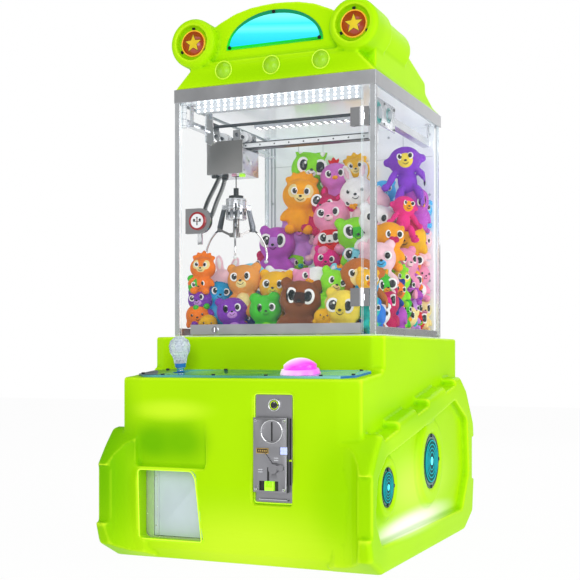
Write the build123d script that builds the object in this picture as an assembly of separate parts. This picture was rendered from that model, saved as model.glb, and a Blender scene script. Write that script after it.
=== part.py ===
"""Claw crane machine: moulded base, glass cabinet, gantry, claw, toys and canopy.

Millimetres, +Z up, front towards -Y, +X to the viewer's right, origin on the floor
under the middle of the machine.
"""
import os
from math import atan2, cos, degrees, radians, sin

from build123d import *

os.makedirs("parts", exist_ok=True)

# ---------------------------------------------------------------- driving dimensions
WALL = 5.0                  # rotomoulded wall of the base
CONSOLE_HALF = 226.0        # half width of the console
SKIRT_DEPTH = 30.0          # the side skirts stand out from the console by this much
SKIRT_OUT = CONSOLE_HALF + SKIRT_DEPTH
COLLAR_TOP = 398.0          # top of the raised collar under the cabinet
CAB_HALF = 200.0            # half width of the glass cabinet
CAB_FRONT = -150.0
CAB_REAR = 269.0
DECK_TOP = COLLAR_TOP + 3.0
BAND_LOW = 840.0            # aluminium band round the top of the cabinet
BAND_TOP = 865.0
GLASS = 4.0
PANEL_REAR = (-186.0, 334.0)    # console top, rear and front of the sloping panel seat
PANEL_FRONT = (-297.0, 324.0)
PANEL_THICK = 4.0
STICK_X, STICK_Y = -137.0, -55.0      # joystick on the panel, from the panel's rear edge
BUTTON_X, BUTTON_Y = 98.0, -60.0      # drop button on the panel
CLAW_X, CLAW_Y = -115.0, -60.0        # rest position of the claw
PRONG_ANGLES = (-65.6, 54.4, 174.4)
CHUTE = (-180.0, -62.0, -46.0, 70.0)  # inside of the prize chute: x0, x1, y0, y1
DOOR_LEFT, DOOR_RIGHT = -187.0, 174.0
HINGE_X, HINGE_Y = 175.5, -153.5      # door hinge line
CANOPY_WALL = 4.0


# ---------------------------------------------------------------- helpers
def box(x0, x1, y0, y1, z0, z1):
    """Box between opposite corners."""
    return Pos((x0 + x1) / 2, (y0 + y1) / 2, (z0 + z1) / 2) * Box(x1 - x0, y1 - y0, z1 - z0)


def rod_x(y, z, radius, x0, x1):
    return Pos((x0 + x1) / 2, y, z) * Rot(Y=90) * Cylinder(radius, x1 - x0)


def rod_y(x, z, radius, y0, y1):
    return Pos(x, (y0 + y1) / 2, z) * Rot(X=90) * Cylinder(radius, y1 - y0)


def rod_z(x, y, radius, z0, z1):
    return Pos(x, y, (z0 + z1) / 2) * Cylinder(radius, z1 - z0)


def face(points, round_by=0.0, grow=0.0):
    """Closed outline with optional rounded corners, grown or shrunk by an offset."""
    shape = make_face(Polyline(*points, close=True))
    if grow:
        shape = offset(shape, grow, kind=Kind.INTERSECTION)
    if round_by:
        shape = fillet(shape.vertices(), round_by)
    return shape


def prism_x(shape, x0, x1):
    """Shape drawn in (y, z), extruded along X."""
    plane = Plane(origin=(x0, 0, 0), x_dir=(0, 1, 0), z_dir=(1, 0, 0))
    return extrude(plane * shape, x1 - x0)


def prism_y(shape, y0, y1):
    """Shape drawn in (x, z), extruded along Y."""
    plane = Plane(origin=(0, y1, 0), x_dir=(1, 0, 0), z_dir=(0, -1, 0))
    return extrude(plane * shape, y1 - y0)


def prism_z(shape, z0, z1):
    return extrude(Pos(0, 0, z0) * shape, z1 - z0)


def both(shape):
    """The shape and its mirror image across the middle plane."""
    return shape + mirror(shape, about=Plane.YZ)


def pair(shape):
    return [shape, mirror(shape, about=Plane.YZ)]


def save(name, *shapes):
    solids = [solid for shape in shapes for solid in shape.solids()]
    export_step(Compound(solids), f"parts/{name}.step")


def flat(items):
    """One list out of solids and lists of solids."""
    out = []
    for item in items:
        out += flat(item) if isinstance(item, (list, tuple)) else [item]
    return out


# ---------------------------------------------------------------- base shell
CONSOLE_SIDE = [(-269, 3), (-290, 25), (-300, 60), (-303, 140), (-297, 190), PANEL_FRONT,
                PANEL_REAR, (-184, 340), (-184, COLLAR_TOP), (296, COLLAR_TOP), (296, 3)]
SKIRT_SIDE = [(-269, 3), (-328, 32), (-339, 66), (-339, 119), (-334, 172), (-307, 207),
              (-283, 233), (200, 319), (226, 320), (272, 293), (331, 223), (337, 191),
              (337, 100), (325, 32), (260, 3)]
SKIRT_ROOT = 61.0                                           # the skirts reach in under the console
SKIRT_BLEND = [(-SKIRT_ROOT, 0), (-46, 13), (-28, 15), (-13, 22), (0, 35), (11, 56), (SKIRT_DEPTH + 2, 56)]
SKIRT_PLAN = [(CONSOLE_HALF + x, -284 - y) for x, y in SKIRT_BLEND]
SKIRT_PLAN += [(CONSOLE_HALF + x, 283 + y) for x, y in SKIRT_BLEND[::-1]]
RECESS = [(-276, 52), (-308, 98), (-297, 164), (-251, 196), (-62, 227), (182, 274),
          (277, 231), (289, 119), (237, 49)]
PORTHOLES = [(-229, 143, 34, 57), (30, 165, 52, 86)]        # y, z, disc radius, boss radius
RECESS_FLOOR = SKIRT_OUT - 14
PORT_FACE = RECESS_FLOOR + 4
BOSS_FACE = RECESS_FLOOR + 10
SLOPE = degrees(atan2(319 - 233, 200 + 283))
SLOPE_NOTCHES = [(-269, -185), (-84, -4), (108, 182)]
PRIZE_OPENING = [(-190, 163), (-84, 163), (-76, 155), (-71, 110), (-65, 46), (-70, 40),
                 (-184, 40), (-190, 46)]
COIN = (34.0, 105.0, 112.0, 299.0)                          # recess: x0, x1, z0, z1
COIN_FLOOR = -289.0


def slope_z(y):
    """Height of the skirt's sloping top edge."""
    return 233 + (y + 283) * (319 - 233) / (200 + 283)


def skirt_cuts(extra):
    """Notches in one skirt, grown by extra when they shape the inside of the wall."""
    inner, outer = CONSOLE_HALF - extra, SKIRT_OUT + 4
    cuts = [box(inner, outer, -350, -327 + extra, 70 - extra, 170 + extra),
            box(inner, outer, 317 - extra, 350, 104 - extra, 191 + extra)]
    for y0, y1 in SLOPE_NOTCHES:
        middle = (y0 + y1) / 2
        block = Box(outer - inner, y1 - y0 + extra * 2, 24 + extra * 2)
        cuts.append(Pos((inner + outer) / 2, middle, slope_z(middle)) * Rot(X=SLOPE) * block)
    return cuts


def base_volume(inset):
    """Console, collar and skirts as one volume, shrunk by inset for the inside."""
    console = prism_x(face(CONSOLE_SIDE, grow=-inset), inset - CONSOLE_HALF, CONSOLE_HALF - inset)
    for side in (1, -1):
        inner, outer = side * (CONSOLE_HALF - 42), side * (CONSOLE_HALF + 4)
        taper = [(inner, -310), (inner, -297 + inset), (outer, -291 + inset), (outer, -310)]
        console -= prism_z(face(taper), 200, 345)
        inner = side * (CONSOLE_HALF - 22)
        taper = [(inner, -200), (inner, -184 + inset), (outer, -172.7 + inset), (outer, -200)]
        console -= prism_z(face(taper), 340, 400)
    skirt = prism_x(face(SKIRT_SIDE, 4.0, -inset), CONSOLE_HALF - SKIRT_ROOT, SKIRT_OUT - inset)
    if not inset:
        skirt = fillet(skirt.edges().group_by(Axis.X)[-1], 9)
    skirt = skirt & prism_z(face(SKIRT_PLAN, grow=-inset), 0, 340)
    for cut in skirt_cuts(inset):
        skirt -= cut
    skirt -= prism_x(face(RECESS, 22.0, inset), RECESS_FLOOR - inset, SKIRT_OUT + 6)
    return console + skirt + mirror(skirt, about=Plane.YZ)


def scoop(depth):
    """Sloping scoop in the console front above the prize opening."""
    low = 168 - depth
    profile = [(-330, 262), (-296, 250), (-296 + depth, 246), (-286 + depth, low), (-330, low)]
    return prism_x(face(profile), -196 - depth, -58 + depth)


def porthole_boss(y, z, disc, boss):
    rise = BOSS_FACE - RECESS_FLOOR
    ring = Pos((RECESS_FLOOR + BOSS_FACE) / 2, y, z) * Rot(Y=90) * Cone(boss, boss - 9, rise)
    return ring - rod_x(y, z, disc + 1.5, PORT_FACE, BOSS_FACE + 8)


opening = face(PRIZE_OPENING)
shell = base_volume(0)
shell -= scoop(0)
shell -= box(COIN[0], COIN[1], -320, COIN_FLOOR, COIN[2], COIN[3])
inside = base_volume(WALL)
inside -= scoop(WALL)
inside -= box(COIN[0] - WALL, COIN[1] + WALL, -320, COIN_FLOOR + WALL, COIN[2] - WALL, COIN[3] + WALL)
inside -= prism_y(face(PRIZE_OPENING, grow=WALL), -320, -268)
shell -= inside
for port in PORTHOLES:
    shell += both(porthole_boss(*port))
shell -= prism_y(opening, -330, -260)
shell -= box(40, 99, -300, -280, 118, 290)                       # coin mechanism opening
under = CAB_HALF - 10
shell -= box(-under, under, CAB_FRONT + 6, CAB_REAR - 7, COLLAR_TOP - 8, COLLAR_TOP + 2)
PAN_HALF = CONSOLE_HALF - 12
shell -= box(14 - PAN_HALF, PAN_HALF - 14, -250, 280, 0, 12)     # closed by the base pan
shell -= box(-120, 120, 288, 300, 80, 330)                       # closed by the service panel
shell -= box(140, 170, 288, 300, 62, 118)                        # power inlet
PANEL_TILT = degrees(atan2(PANEL_REAR[1] - PANEL_FRONT[1], PANEL_REAR[0] - PANEL_FRONT[0]))
PANEL = Pos(0, *PANEL_REAR) * Rot(X=PANEL_TILT)                  # local z is out of the panel seat
shell -= PANEL * rod_z(STICK_X, STICK_Y, 22, -12, 8)
shell -= PANEL * rod_z(BUTTON_X, BUTTON_Y, 28, -12, 8)

PANEL_HALF = CONSOLE_HALF - 15
PANEL_CORNERS = [(12, -2), (0, -17), (3, -83), (25, -103)]      # inset from the panel's side, y
PANEL_OUTLINE = [(x - PANEL_HALF, y) for x, y in PANEL_CORNERS]
PANEL_OUTLINE += [(PANEL_HALF - x, y) for x, y in PANEL_CORNERS[::-1]]
PANEL_SCREWS = [(21 - PANEL_HALF, -8), (-70, -8), (70, -8), (PANEL_HALF - 21, -8), (10 - PANEL_HALF, -78),
                (PANEL_HALF - 10, -78), (-150, -97), (-50, -97), (50, -97), (150, -97)]
for x, y in PANEL_SCREWS:
    shell -= PANEL * rod_z(x, y, 1.8, -9, 2)
port_screws = []
for y, z, disc, boss in PORTHOLES:
    for angle in (90, 270, 0):
        port_screws.append((y + (disc - 4) * cos(radians(angle)), z + (disc - 4) * sin(radians(angle))))
for y, z in port_screws:
    shell -= both(rod_x(y, z, 1.8, PORT_FACE - 6, PORT_FACE + 2))
save("base_shell", shell)

PAN_LOW, PAN_TOP = 8.2, 10.2
save("base_pan", box(-PAN_HALF, PAN_HALF, -258, 288, PAN_LOW, PAN_TOP))
FOOT_X = PAN_HALF - 32
save("rubber_feet", *[rod_z(x, y, 14, 0, PAN_LOW - 0.2) for x in (-FOOT_X, FOOT_X) for y in (-230, 262)])

# ---------------------------------------------------------------- porthole covers
discs, lenses, screws = [], [], []
for y, z, disc, boss in PORTHOLES:
    cover = rod_x(y, z, disc, PORT_FACE, PORT_FACE + 3)
    for sy, sz in port_screws:
        cover -= rod_x(sy, sz, 1.8, PORT_FACE - 1, PORT_FACE + 4)
    discs += pair(cover)
    lenses += pair(rod_x(y, z, disc * 0.14, PORT_FACE + 3, PORT_FACE + 4.5))
    for ring in (0.26, 0.44, 0.62):
        outer = rod_x(y, z, disc * (ring + 0.09), PORT_FACE + 3, PORT_FACE + 4.5)
        lenses += pair(outer - rod_x(y, z, disc * ring, PORT_FACE + 2, PORT_FACE + 6))
for y, z in port_screws:
    screw = rod_x(y, z, 3.2, PORT_FACE + 3, PORT_FACE + 5) + rod_x(y, z, 1.7, PORT_FACE - 5, PORT_FACE + 4)
    screws += pair(screw)
save("porthole_covers", *discs, *lenses)

# ---------------------------------------------------------------- control panel
plate = prism_z(fillet(face(PANEL_OUTLINE).vertices(), 6), 0, PANEL_THICK)
plate -= rod_z(STICK_X, STICK_Y, 14, -2, 8)
plate -= rod_z(BUTTON_X, BUTTON_Y, 28, -2, 8)
for x, y in PANEL_SCREWS:
    plate -= rod_z(x, y, 1.8, -2, 8)
save("control_panel", PANEL * plate)
for x, y in PANEL_SCREWS:
    screws.append(PANEL * (rod_z(x, y, 3.2, PANEL_THICK, PANEL_THICK + 2) + rod_z(x, y, 1.7, -6, PANEL_THICK + 1)))

# joystick: housing under the panel, gimbal ring tilting about X, stick tilting about the panel's Y
PIVOT = -24.0
STICK = PANEL * Pos(STICK_X, STICK_Y, 0)
housing = box(-30, 30, -30, 30, -52, -8) - box(-24, 24, -24, 24, -50, -8)
housing += box(-38, 38, -34, 34, -8, -5.2) - rod_z(0, 0, 16, -12, 0)
housing -= rod_x(0, PIVOT, 3.05, -40, 40)
save("joystick_housing", STICK * housing)
gimbal = box(-18, 18, -18, 18, PIVOT - 4, PIVOT + 4) - box(-12, 12, -12, 12, -40, 0)
gimbal += rod_x(0, PIVOT, 3, -28, -17) + rod_x(0, PIVOT, 3, 17, 28)
gimbal -= rod_y(0, PIVOT, 2.55, -20, 20)
save("joystick_gimbal", STICK * gimbal)
shaft = rod_z(0, 0, 5, PIVOT - 14, 30) + rod_y(0, PIVOT, 2.5, -17.5, 17.5)
shaft += Pos(0, 0, 16.5) * Cone(8, 10, 9)
save("joystick_shaft", STICK * (shaft - rod_z(0, 0, 6, 29, 31)))
KNOB = [(0.0, 11.0), (9.0, 12.5), (20.0, 17.5), (31.0, 19.0), (40.0, 16.0), (45.0, 10.0), (48.0, 3.0)]
levels = []
for index, (height, radius) in enumerate(KNOB):
    turned = Rot(Z=18 * (index % 2)) * RegularPolygon(radius, 10)
    levels.append(Pos(0, 0, 21.1 + height) * turned)
knob = loft([Plane.XY.offset(0) * level for level in levels], ruled=True)
save("joystick_knob", STICK * (knob - rod_z(0, 0, 5.1, 15, 30.1)))

# drop button: bezel with a barrel below, cap sliding down inside it
DROP = PANEL * Pos(BUTTON_X, BUTTON_Y, 0)
bezel = Pos(0, 0, 8) * Cone(35, 32, 8) + rod_z(0, 0, 27, -42, 6)
bezel -= rod_z(0, 0, 24, -39, 6) + rod_z(0, 0, 29, 5, 14)
save("button_housing", DROP * bezel)
cap = Pos(0, 0, -9) * Sphere(40) & rod_z(0, 0, 28.5, 9.5, 40)
cap += rod_z(0, 0, 23.6, -12, 11)
cap -= rod_z(0, 0, 20, -14, 6)
save("drop_button", DROP * cap)
coil_path = Helix(pitch=7.5, height=40, radius=14)
wire = sweep(Plane(coil_path @ 0, z_dir=coil_path % 0) * Circle(1.1), path=coil_path)
save("button_spring", DROP * Pos(0, 0, -37.8) * wire)

# ---------------------------------------------------------------- coin unit
DOOR_FACE = -293.0
COIN_HINGE = (-291.5, 117.0)
plate = box(36, 103, DOOR_FACE, DOOR_FACE + 3, 117, 297) + rod_x(*COIN_HINGE, 1.5, 36, 103)
plate -= box(40.3, 92.7, -300, -280, 140.3, 254.7)
plate -= box(98.5, 101.5, -300, -280, 146, 258)
plate -= rod_y(71, 280, 8.05, -300, -280)
plate += box(42, 97, DOOR_FACE - 5, DOOR_FACE + 0.5, 119, 121)
save("coin_door", plate)
mech = box(36, 97, -303, DOOR_FACE, 134, 259)
mech += box(40.5, 92.5, DOOR_FACE, -235, 140.5, 254.5)
mech -= box(47, 82, -310, -270, 137, 153)
mech -= box(68.5, 71.5, -310, -240, 220, 252)
mech -= box(61.5, 65.5, -310, -299, 152, 176)
mech += rod_y(70, 236, 20, -304, -303) - rod_y(70, 236, 18.5, -310, -300)
mech -= rod_y(74, 174, 4.05, -310, -290)
mech -= box(84.5, 97, -310, -300, 197.5, 210.5)
mech += box(42, 64, -304.2, -303, 199, 208) - box(43.2, 62.8, -306, -303.4, 200.2, 206.8)
for x, z in ((41, 254), (92, 254), (41, 139), (92, 139)):
    mech += rod_y(x, z, 3, -304.5, -303)
leds = [box(x, x + 5, -302.4, -300, z, z + 5) for x in (85.2, 91.4) for z in (198.2, 204.4)]
cup = box(58, 74, -306, -293.2, 137.3, 152.7) - box(60, 72, -307, -294, 143, 153)
save("coin_mech", mech, *leds, cup)
lever = rod_y(74, 174, 8, -309, -303.4) + rod_y(74, 174, 4, -304, -294)
arm = Pos(74, 0, 174) * Rot(Y=-36) * box(-3, 3, -308, -304.5, 0, 30)
lever += arm + rod_y(88, 176, 5, -308, -304) + box(74, 88, -308, -304, 172, 180)
save("reject_lever", lever)
cam = rod_y(71, 280, 11, -296, DOOR_FACE) + rod_y(71, 280, 8, -293.5, -281.2)
cam += box(51, 71, -283.2, -281.2, 275, 285)
save("coin_door_lock", cam - box(70, 72, -298, -294.8, 275, 285))

cash = box(34, 106, -262, -150, 10.4, 104) - box(36, 104, -260, -152, 12.4, 110)
save("cash_box", cash)

# ---------------------------------------------------------------- prize path
SLIDE = [(-262, 40), (-180, 56), (CHUTE[3], 200)]
ROOF = [(-262, 171), (-180, 171), (CHUTE[2], 300)]
SKIN = 2.0
duct = SLIDE + [(CHUTE[3], 320), (CHUTE[2], 320)] + ROOF[::-1]
outside = [(-262, 37.8), (-180, 53.8), (CHUTE[3] + SKIN, 198.8), (CHUTE[3] + SKIN, 320),
           (CHUTE[2] - SKIN, 320), (CHUTE[2] - SKIN, 301), (-181, 173), (-262, 173)]
prize_bin = prism_x(face(outside), CHUTE[0] - SKIN, CHUTE[1] + SKIN)
prize_bin -= prism_x(face([(-264, 40)] + duct[1:-1] + [(-264, 171)]), CHUTE[0], CHUTE[1])
frame_plate = box(-196, -58, -268, -266, 34, 170) - box(-176, -65, -270, -260, 42, 165.5)
prize_bin += frame_plate
prize_bin += box(-182, -180, -266, -260, 38, 170) + box(-62, -60, -266, -260, 38, 170)
FLAP_AXIS = (-262.0, 164.0)
prize_bin -= rod_x(*FLAP_AXIS, 2.05, -190, -50)
save("prize_bin", prize_bin)
flap = box(-175.2, -65.8, -267.8, -265.8, 43, 165)
flap += box(-175.2, -65.8, -265.8, -262, 162, 165) + rod_x(*FLAP_AXIS, 2, -184, -58)
save("prize_flap", flap)

chute_box = box(CHUTE[0] - SKIN, CHUTE[1] + SKIN, CHUTE[2] - SKIN, CHUTE[3] + SKIN, 320, DECK_TOP + 12)
chute_box -= box(CHUTE[0], CHUTE[1], CHUTE[2], CHUTE[3], 310, 420)
save("prize_chute", chute_box)

deck = box(-199, 199, -149, 268, COLLAR_TOP, DECK_TOP)
deck -= box(CHUTE[0] - SKIN, CHUTE[1] + SKIN, CHUTE[2] - SKIN, CHUTE[3] + SKIN, 390, 410)
deck -= box(-121, -99, -143.5, -139, 390, 410)
save("playfield_deck", deck)

# ---------------------------------------------------------------- cabinet
post = box(190, 200, -150, -148.5, DECK_TOP, BAND_LOW) + box(198.5, 200, -150, -140, DECK_TOP, BAND_LOW)
rear_post = box(190, 200, 267.5, 269, DECK_TOP, BAND_LOW) + box(198.5, 200, 259, 269, DECK_TOP, BAND_LOW)
posts = pair(post) + pair(rear_post)
band = box(-201, 201, -151, 270, BAND_LOW, BAND_TOP) - box(-199, 199, -149, 268, BAND_LOW - 1, BAND_TOP + 1)
band += box(-199, 199, -149, 268, 846, 848) - box(-185, 185, -135, 254, 840, 850)
side_rail = box(194, 198, -138, 257, DECK_TOP, DECK_TOP + 14)
back_rail = box(-190, 190, 263, 267, DECK_TOP, DECK_TOP + 14)
save("cabinet_frame", band, *posts, *pair(side_rail), back_rail)
pane = box(194.3, 198.3, -148, 262, DECK_TOP + 14.2, BAND_LOW + 5)
save("side_glass", *pair(pane), box(176.5, 189.8, -150, -146, DECK_TOP, BAND_LOW - 0.2))
save("liner_panels", box(-189, 189, 258, 261, DECK_TOP, 845), box(-192, 192, -144, 256, 842.5, 845.5))
led_front = box(-165, 165, -131, -117, 822, 842)
led_rear = box(-150, 150, 96, 116, 836, 842)
save("led_strips", led_front, led_rear)

# door: glass between the clamp plates, bottom rail, D shaped lock plate
glass_door = box(DOOR_LEFT, DOOR_RIGHT, -150, -146, 403, 838)
glass_door -= rod_y(-150, 615, 8.05, -160, -140) + rod_y(-113, 411, 5.2, -160, -140)
save("door_glass", glass_door)
rail = box(-165, 174, -153, -143, 402, 421) - box(-166, 175, -150.2, -145.8, 402.8, 422)
rail -= rod_y(-113, 411, 5.05, -160, -140)
rail_front_lock = rod_y(-113, 411, 6.5, -155, -153) + rod_y(-113, 411, 5, -153.5, -140.4)
rail_front_lock += box(-113, -99, -142.4, -140.4, 407.5, 414.5)
leaves = []
for low, high in ((768, 801), (450, 482)):
    third = (high - low) / 3
    outer = box(154, 173, -152, -150.1, low, high)
    inner = box(154, 173, -145.9, -144, low, high)
    knuckles = rod_z(HINGE_X, HINGE_Y, 3, low, low + third - 0.2)
    knuckles += rod_z(HINGE_X, HINGE_Y, 3, high - third + 0.2, high)
    arms = box(171, HINGE_X, -153.8, -152, low, low + third - 0.2)
    arms += box(171, HINGE_X, -153.8, -152, high - third + 0.2, high)
    leaf = outer + box(171, 173, -153, -151, low, high) + arms + knuckles
    leaf -= rod_z(HINGE_X, HINGE_Y, 1.55, low - 1, high + 1)
    leaf -= rod_z(HINGE_X, HINGE_Y, 3.3, low + third - 0.2, high - third + 0.2)
    leaves += [leaf, inner]
d_shape = face([(-176, 592), (-146.5, 592), (-146.5, 639), (-176, 639)]) + Pos(-146.5, 615.5) * Circle(23.5)
lock_plate = prism_y(d_shape, -152.2, -150.1) + prism_y(d_shape, -145.9, -144)
lock_plate -= rod_y(-150, 615, 8.05, -160, -140)
save("door_fittings", *leaves, lock_plate)
save("door_rail", rail)
save("door_rail_lock", rail_front_lock - box(-114, -112, -157, -154, 407, 415))
key_lock = rod_y(-150, 615, 17, -155, -152.4) + rod_y(-150, 615, 8, -153, -141.6)
key_lock += box(-155, -145, -143.6, -141.6, 572, 615)
save("door_lock", key_lock - box(-151, -149, -157, -154, 609, 621))

brackets = []
for low, high in ((768, 801), (450, 482)):
    third = (high - low) / 3
    leaf = box(178.5, 189, -152, -150.1, low, high)
    leaf += rod_z(HINGE_X, HINGE_Y, 3, low + third, high - third)
    leaf += box(HINGE_X, 180, -153.8, -151.5, low + third, high - third)
    leaf -= rod_z(HINGE_X, HINGE_Y, 1.5, low - 1, high + 1)
    leaf += rod_z(HINGE_X, HINGE_Y, 1.5, low, high)
    brackets += [leaf, box(178.5, 189, -145.9, -144, low, high)]
save("hinge_brackets", *brackets)

# ---------------------------------------------------------------- gantry
side_track = box(168, 184, -132, 246, 797, 800) + box(182, 184, -132, 246, 797, 812)
for y in (-120, 230):
    side_track += box(182, 184, y, y + 12, 800, 842.4) + box(178, 188, y, y + 12, 840, 842.4)
save("gantry_rails", *pair(side_track))
motor = box(186.5, 188.5, -128, -2, 780, 827) + rod_x(-100, 800, 11, 188.5, 193)
motor += rod_x(-40, 806, 8, 188.5, 193) + box(184.2, 186.5, -110, -90, 806, 811)
save("y_drive_motor", motor, rod_z(-189, -134, 5, 796, 842))

BEAM_TOP = 772.0
beam = box(-164, 164, -69, -51, 760, BEAM_TOP) - box(-170, 170, -67, -53, 762, BEAM_TOP - 3)
beam -= box(-162, 162, -63, -57, BEAM_TOP - 4, BEAM_TOP + 1)
for x in (-167, 164):
    beam += box(x, x + 3, -84, -36, 758, 818) - rod_x(CLAW_Y, 809.3, 3.05, -180, 180)
save("bridge_beam", beam)
axle = rod_x(CLAW_Y, 809.3, 3, -174, 174)
save("bridge_axle", axle + rod_x(CLAW_Y, 809.3, 9, 169, 177) + rod_x(CLAW_Y, 809.3, 9, -177, -169))

box_x = (-160.0, -84.0)
carriage = box(*box_x, -96, -24, 710, 757) - box(box_x[0] + 2, box_x[1] - 2, -94, -26, 712, 755)
carriage += box(*box_x, -96, -94, 710, 773) + box(*box_x, -26, -24, 710, 773)
carriage -= rod_z(CLAW_X, CLAW_Y, 8, 700, 714)
carriage -= rod_x(CLAW_Y, 734, 4.05, box_x[0] - 1, box_x[1] + 1)
for x in (-140, -96):
    for y in (-96, -26):
        lug = box(x - 8, x + 8, y, y + 2, 770, 792)
        carriage += lug - rod_y(x, 783.3, 3.05, y - 2, y + 4)
bracket = face([(-163, 774), (-150, 765), (-143, 774), (-145, 800), (-148, 834), (-162, 836)])
save("carriage_box", carriage + prism_y(bracket, -98.5, -96))
for name, x in (("carriage_axle_left", -140), ("carriage_axle_right", -96)):
    axle = rod_y(x, 783.3, 3, -99.5, -20.5)
    axle += rod_y(x, 783.3, 11, -68.5, -63.5) + rod_y(x, 783.3, 11, -56.5, -51.5)
    axle += rod_y(x, 783.3, 6, -23.6, -20.5)
    save(name, axle - rod_y(x, 783.3, 3.2, -100, -98))
drum = rod_x(CLAW_Y, 734, 4, -161, -83) + rod_x(CLAW_Y, 734, 12, -132, -98)
drum += rod_x(CLAW_Y, 734, 16, -134, -132) + rod_x(CLAW_Y, 734, 16, -98, -96)
save("hoist_drum", drum)
save("hoist_string", rod_z(CLAW_X, CLAW_Y, 1, 687.3, 721.7))


def run(points, radius):
    path = Spline(*points)
    return sweep(Plane(path @ 0, z_dir=path % 0) * Circle(radius), path=path)


cord = [(-142, -76, 709.5), (-150, -80, 690), (-166, -88, 655), (-170, -90, 632), (-160, -92, 622),
        (-151, -90, 634), (-145, -84, 660), (-134, -76, 690), (-131, -74, 709.5)]
save("curly_cord", run(cord, 4.6))


# ---------------------------------------------------------------- claw
def around(shape, angle):
    """Shape drawn with the prong's radius along +X, turned into place on the claw axis."""
    return Pos(CLAW_X, CLAW_Y, 0) * Rot(Z=angle) * shape


PIVOT_R, PIVOT_Z = 26.0, 652.0
KNEE_R, KNEE_Z = 37.0, 609.0
TIP_R, TIP_Z = 67.0, 547.0
HUB_R, HUB_Z = 11.0, 597.0
head = rod_z(0, 0, 19.5, 626, 666) + rod_z(0, 0, 14, 666, 672) + rod_z(0, 0, 5, 672, 687)
head += rod_z(0, 0, 21, 646, 650)
head -= rod_z(0, 0, 6.05, 620, 660)
for index in range(10):
    head -= Rot(Z=36 * index) * box(17.5, 22, -2.2, 2.2, 634, 640)
for angle in PRONG_ANGLES:
    head -= Rot(Z=angle) * box(15, 22, -2.3, 2.3, 625, 642)
head = Pos(CLAW_X, CLAW_Y, 0) * head
for angle in PRONG_ANGLES:
    lug = box(17, 30, 2, 4, 646, 656) + box(17, 30, -4, -2, 646, 656)
    head += around(lug + rod_y(PIVOT_R, PIVOT_Z, 1.5, -4.5, 4.5), angle)
save("claw_head", head)
hub = rod_z(0, 0, 6, 600, 650) + rod_z(0, 0, 7, HUB_Z - 5, HUB_Z + 4)
for angle in PRONG_ANGLES:
    hub += Rot(Z=angle) * (box(6, 14, -1.5, 1.5, HUB_Z - 4, HUB_Z + 4) - rod_y(HUB_R, HUB_Z, 1.55, -3, 3))
save("claw_plunger", Pos(CLAW_X, CLAW_Y, 0) * hub)
BAR = [(PIVOT_R - 4, PIVOT_Z + 3), (PIVOT_R + 4, PIVOT_Z + 3), (KNEE_R + 5, KNEE_Z + 6),
       (KNEE_R + 5, KNEE_Z - 5), (KNEE_R - 4, KNEE_Z - 5)]
FINGER = [(KNEE_R, KNEE_Z), (52, 598), (64, 580), (69, 562), (TIP_R, TIP_Z + 3)]
for index, angle in enumerate(PRONG_ANGLES, 1):
    bar = prism_y(face(BAR, 3.0), -1.7, 1.7) - rod_y(PIVOT_R, PIVOT_Z, 1.55, -3, 3)
    spline = Spline(*[(r, 0, z) for r, z in FINGER])
    finger = sweep(Plane(spline @ 0, z_dir=spline % 0) * Circle(1.9), path=spline)
    prong = bar + finger
    tip = Pos(TIP_R, 0, TIP_Z + 1) * Sphere(4) & box(60, 75, -5, 5, TIP_Z - 4, TIP_Z + 2.9)
    save(f"claw_prong_{index}", around(prong, angle), around(tip, angle))
    link = rod_y(HUB_R, HUB_Z, 3.2, 2, 4) + rod_y(KNEE_R, KNEE_Z, 3.2, 2, 4)
    reach = Pos((HUB_R + KNEE_R) / 2, 3, (HUB_Z + KNEE_Z) / 2)
    lean = degrees(atan2(KNEE_Z - HUB_Z, KNEE_R - HUB_R))
    link += reach * Rot(Y=-lean) * Box(27, 2, 4.4) + rod_y(HUB_R, HUB_Z, 1.5, -1.9, 3)
    save(f"claw_link_{index}", around(link, angle))


# ---------------------------------------------------------------- plush toys
def toy(x, y, z, width, height):
    """Sitting plush toy: round body, big head and ears. z is its lowest point."""
    body_r = min(0.40 * width, 0.30 * height)
    head_r = min(0.47 * width, 0.36 * height)
    head_z = z + height - head_r
    body = Pos(x, y, z + body_r) * Sphere(body_r) + Pos(x, y, head_z) * Sphere(head_r)
    for side in (-1, 1):
        body += Pos(x + side * 0.62 * head_r, y, head_z + 0.74 * head_r) * Sphere(0.28 * head_r)
    return body


def stack(x, y, width, heights, z=DECK_TOP + 0.2):
    """Toys on top of each other in one column."""
    toys = []
    for height in heights:
        toys.append(toy(x, y, z, width, height))
        z += height + 0.3
    return toys


front = [stack(-156, -106, 60, [64, 66]), stack(-94, -108, 60, [64]), stack(-30, -108, 62, [64, 62])]
front += [stack(34, -108, 64, [66, 62]), stack(98, -106, 62, [62, 66])]
front += [stack(-26, -40, 64, [70, 60]), stack(40, -40, 64, [66, 60]), stack(106, -36, 60, [66, 62])]
front += [stack(-26, 28, 64, [62, 66]), stack(40, 28, 64, [64, 60]), stack(104, 30, 60, [66, 62])]
front += [stack(-26, 96, 64, [66, 62]), stack(40, 96, 64, [62, 66]), stack(104, 96, 60, [62, 66])]
save("toys_front_heap", *flat(front))
tall = [stack(-84, 220, 74, [88, 92, 94, 84]), stack(-8, 196, 72, [88, 92, 90]), stack(66, 196, 72, [92, 86, 94])]
tall += [stack(140, 196, 72, [88, 90, 96, 78]), stack(163, 120, 58, [78, 80, 84, 80])]
tall += [stack(163, 58, 58, [72, 78, 76]), stack(163, -4, 58, [74, 70, 60]), stack(163, -66, 58, [68, 72])]
tall += [stack(166, -118, 46, [60, 62])]
save("toys_tall_piles", *flat(tall))

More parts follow.
